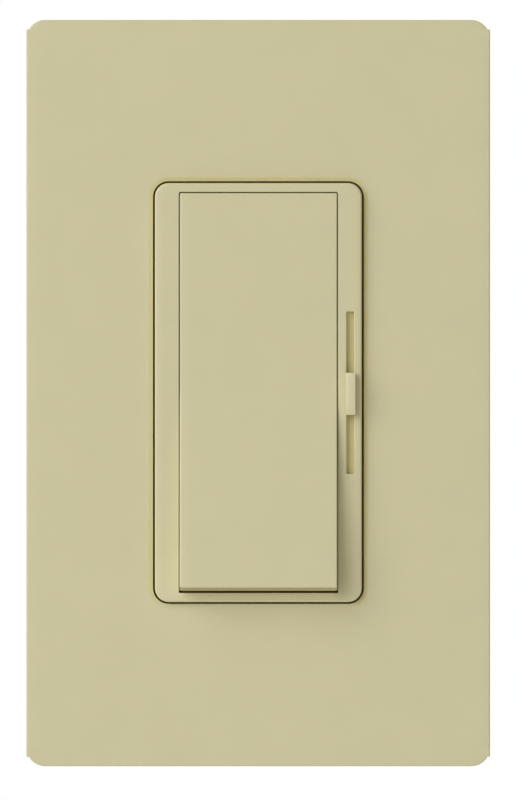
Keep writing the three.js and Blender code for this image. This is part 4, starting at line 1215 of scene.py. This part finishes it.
def terminals():
    sheet = (16.3, 17.3)
    for (side, z), name in zip(terminal_places(), ("line", "load", "traveller")):
        plate = slab(sheet, (14.6, 22.8), around(0, 4.2), 0.1, 0.1, 0.1)
        unite(plate, slab(sheet, (10.75, 15), around(0, 1.5), 0.1, 0.1, 0.1))
        carve(plate, rod_x(WIRE_HOLE, (15, 19), WIRE_Y, 0))
        stand_for(placed(plate, side, z), f"terminal_plate_{name}")
        clamp = slab((18.4, 19.3), (15, 22.4), around(0, 3.8), 0.15, 0.15, 0.15)
        unite(clamp, slab((17.6, 18.9), (21.6, 22.4), around(0, 3.8), 0.15, 0.1, 0.15))
        for offset in (-2.85, -0.95, 0.95, 2.85):
            carve(clamp, slab((18.2, 18.55), (15.5, 21), around(offset, 0.15), 0.1, 0.02, 0.02))
        carve(clamp, rod_x(WIRE_HOLE, (17, 22), WIRE_Y, 0))
        stand_for(placed(clamp, side, z), f"terminal_clamp_{name}")
        head = head_profile(3.3, 1.8, 0.25, 0.5)
        bolt = move(screw(head, 6.4, 1.5, 0.7), (21.4, WIRE_Y, 0), TURN / 4, "Z")
        stand_for(placed(bolt, side, z), f"terminal_screw_{name}")


# ---- circuit


def choke():
    """A ring core and one wire wound round it, with a gap between the winding's ends."""
    x, (front, back), z = spans("choke_core")
    centre = (middle(x), middle(z))
    outer = (x[1] - x[0]) / 2
    inner = 4.8
    profile = [(inner + 0.5, front), (outer - 0.5, front), (outer, front + 0.5)]
    profile += [(outer, back - 0.5), (outer - 0.5, back), (inner + 0.5, back)]
    profile += [(inner, back - 0.5), (inner, front + 0.5)]
    core = turned(profile, *centre, closed=True)
    stand_for(soften(core, 0.2, 3, 25), "choke_core")
    _, (low, high), _ = spans("choke_winding")
    wire = 0.3
    turns = 30
    steps = 28
    half_r = (outer - inner) / 2 + 0.3 + wire
    half_y = (high - low) / 2 - wire
    path = []
    for k in range(turns * steps + 1):
        around_ring = radians(14 + 332 * k / (turns * steps))
        section = TURN * k / steps
        bulge = (abs(cos(section)) ** 4 + abs(sin(section)) ** 4) ** -0.25
        r = (outer + inner) / 2 + half_r * bulge * cos(section)
        y = (low + high) / 2 + half_y * bulge * sin(section)
        path.append((centre[0] + r * cos(around_ring), y, centre[1] + r * sin(around_ring)))
    stand_for(tube(path, wire, 8), "choke_winding")


def triac():
    x, (front, back), z = spans("triac")
    split = limits("triac", lambda p: p.y < front + 0.01 and p.z > z[0] + 4)
    body = slab(x, (front + 0.04, front + 4.5), (split[0].z, split[0].z + 9.2), 0.2, 0.2, 0.5)
    unite(body, slab(grown(x, -0.1), (front, front + 1.3), (split[0].z + 8, z[1]), 0.6, 0.08, 0.08))
    for place in (-1, 0, 1):
        across = around(middle(x) + 2.54 * place, 0.4)
        foot, top = z[0] + 0.5, split[0].z + 0.2
        outline = [(3.3, z[0]), (back, z[0]), (back, foot), (3.8, foot), (3.8, top), (3.3, top)]
        unite(body, soften(prism_x(outline, across), 0.05, 2))
    carve(body, rod_y(RIVET_HOLE, (0, 4), middle(x), RIVET_PLACE[1]))
    return stand_for(body, "triac")


def rivet():
    x, (front, back), z = spans("triac_rivet")
    dome = [(2.7 * sin(a), 0.8 * (1 - cos(a))) for a in (TURN / 4 * k / 6 for k in range(1, 7))]
    profile = [(0, front)] + [(r, front + y) for r, y in dome]
    profile += [(1.35, front + 0.8), (1.35, back - 0.8)]
    profile += [(r, back - y) for r, y in reversed(dome)] + [(0, back)]
    return stand_for(turned(profile, middle(x), middle(z)), "triac_rivet")


def axial_part(node, radius, body_length, bands=()):
    """A body with a bulge at each end and a wire bent down to the board from each."""
    x, (board, back), z = spans(node)
    y = back - radius
    half = body_length / 2
    rows = [(0, -half)]
    for k in range(25):
        t = -1 + 2 * k / 24
        swell = 0.86 + 0.14 * min(1, max(0, (abs(t) - 0.55) / 0.2))
        end = sqrt(max(0.0, 1 - max(0, (abs(t) - 0.88) / 0.12) ** 2))
        rows.append((max(radius * swell * end, 0.05), t * half))
    centre = (middle(x), y, middle(z))
    body = move(turned(rows + [(0, half)], sides=32), centre, -TURN / 4, "Z")
    for side in (-1, 1):
        out = middle(x) + side * (half + 0.9)
        near = middle(x) + side * (half - 0.4)
        path = [(near, y), (out - side * 0.4, y), (out - side * 0.12, y - 0.12)]
        path += [(out, y - 0.4), (out, board)]
        unite(body, tube([(*place, middle(z)) for place in path], 0.28))
    stand_for(body, node, extra=("tinned_steel", *bands))
    for face in body.data.polygons:
        across, behind, up = face.center / MM - Vector(centre)
        along = across / half
        if abs(along) > 1 or max(abs(behind), abs(up)) < 0.27 or behind < -radius:
            face.material_index = 1
        elif bands and abs((along + 0.62) % 0.36 - 0.18) < 0.065 and abs(along) < 0.75:
            face.material_index = 2 + min(int((along + 0.62) / 0.36), len(bands) - 1)


def film_capacitor(node):
    x, (board, back), z = spans(node)
    base = board + 0.45
    body = slab(x, (base, back), z, 0.5, 0.3, 0.4)
    width = x[1] - x[0]
    for side in (-1, 1):
        lead_x = middle(x) + side * 0.36 * width
        unite(body, rod_y(0.3, (board, base + 0.5), lead_x, middle(z), sides=16))
    return stand_for(body, node)


def small_parts():
    for width, nodes in (
        (0.06, ("pot_frame", "pot_track_board", "circuit_board", "triac_insulator")),
        (0.15, ("pot_wiper", "switch_base", "contact_rocker")),
        (0.06, ("moving_contact_arm", "fixed_contact_arm")),
        (0.08, ("moving_contact_tip", "fixed_contact_tip")),
    ):
        for node in nodes:
            stand_for(refine(node, width), node)
    film_capacitor("filter_capacitor")
    film_capacitor("timing_capacitor")
    axial_part("diac", 0.95, 4.0, ("band_black",))
    stripes = ("band_brown", "band_black", "band_brown", "band_gold")
    for number in range(1, 4):
        axial_part(f"resistor_{number}", 1.2, 6.4, stripes)


# ---- stage


def floor():
    """A pale studio floor under the part, which hangs as on a wall."""
    bm = bmesh.new()
    bmesh.ops.create_grid(bm, x_segments=1, y_segments=1, size=FLOOR_HALF)
    mesh = bpy.data.meshes.new("floor")
    bm.to_mesh(mesh)
    bm.free()
    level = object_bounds()[0].z - FLOOR_DROP
    mesh.materials.append(finish_of(
        "floor", (0.88, 0.88, 0.87), 0.7, mottle=0.004, cloud=400, grain=40, relief=0.01,
        specular=0.2
    ))
    obj = add_object("floor", mesh)
    obj.location = (0, 0, level)
    obj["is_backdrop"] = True


def soft_light(name, direction, distance, size, power, colour=(1, 1, 1)):
    data = bpy.data.lights.new(name, "AREA")
    data.shape = "DISK"
    data.size = size
    data.energy = power
    data.color = colour
    obj = add_object(name, data)
    obj.location = Vector(direction).normalized() * distance
    obj.rotation_euler = obj.location.to_track_quat("Z", "Y").to_euler()
    obj.visible_camera = False


def world():
    """White behind the part, and a weaker even light from all round."""
    made = bpy.data.worlds.new("studio")
    made.use_nodes = True
    tree = made.node_tree
    tree.nodes.clear()
    seen = add(tree, "Background", {"Color": (1, 1, 1, 1), "Strength": 1.0})
    lit = add(tree, "Background", {"Color": (1, 0.965, 0.72, 1), "Strength": AMBIENT})
    path = add(tree, "LightPath")
    mix = add(tree, "MixShader", {
        0: path.outputs["Is Camera Ray"], 1: lit.outputs[0], 2: seen.outputs[0],
    })
    output = add(tree, "OutputWorld")
    tree.links.new(mix.outputs[0], output.inputs["Surface"])
    bpy.context.scene.world = made


def camera():
    """A long lens straight in front. The picture's height is a little more than the plate's."""
    view_height = 0.12765
    aside, below = 0.00037, 0.0011
    data = bpy.data.cameras.new("camera")
    data.lens = 650
    data.sensor_width = 36
    distance = data.lens * view_height / data.sensor_width
    data.clip_end = 20
    obj = add_object("camera", data)
    obj.location = (aside, limits("wallplate")[0].y * MM - distance, -below)
    obj.rotation_euler = (TURN / 4, 0, 0)
    bpy.context.scene.camera = obj


camera()
world()
soft_light("key", (-1.05, -1.0, 0.76), 2.0, 2.1, 30.2, colour=(0.955, 0.965, 1.0))
soft_light("rear", (0.9, 1.2, 0.9), 2.4, 1.6, 30)
floor()
bpy.context.scene.view_settings.view_transform = "Standard"

wallplate()
face_bezel()
paddle()
slider_knob()
slider_carriage()
adapter_plate()
screws()
yoke()
switch_plunger()
return_spring()
back_housing()
terminals()
choke()
triac()
rivet()
small_parts()
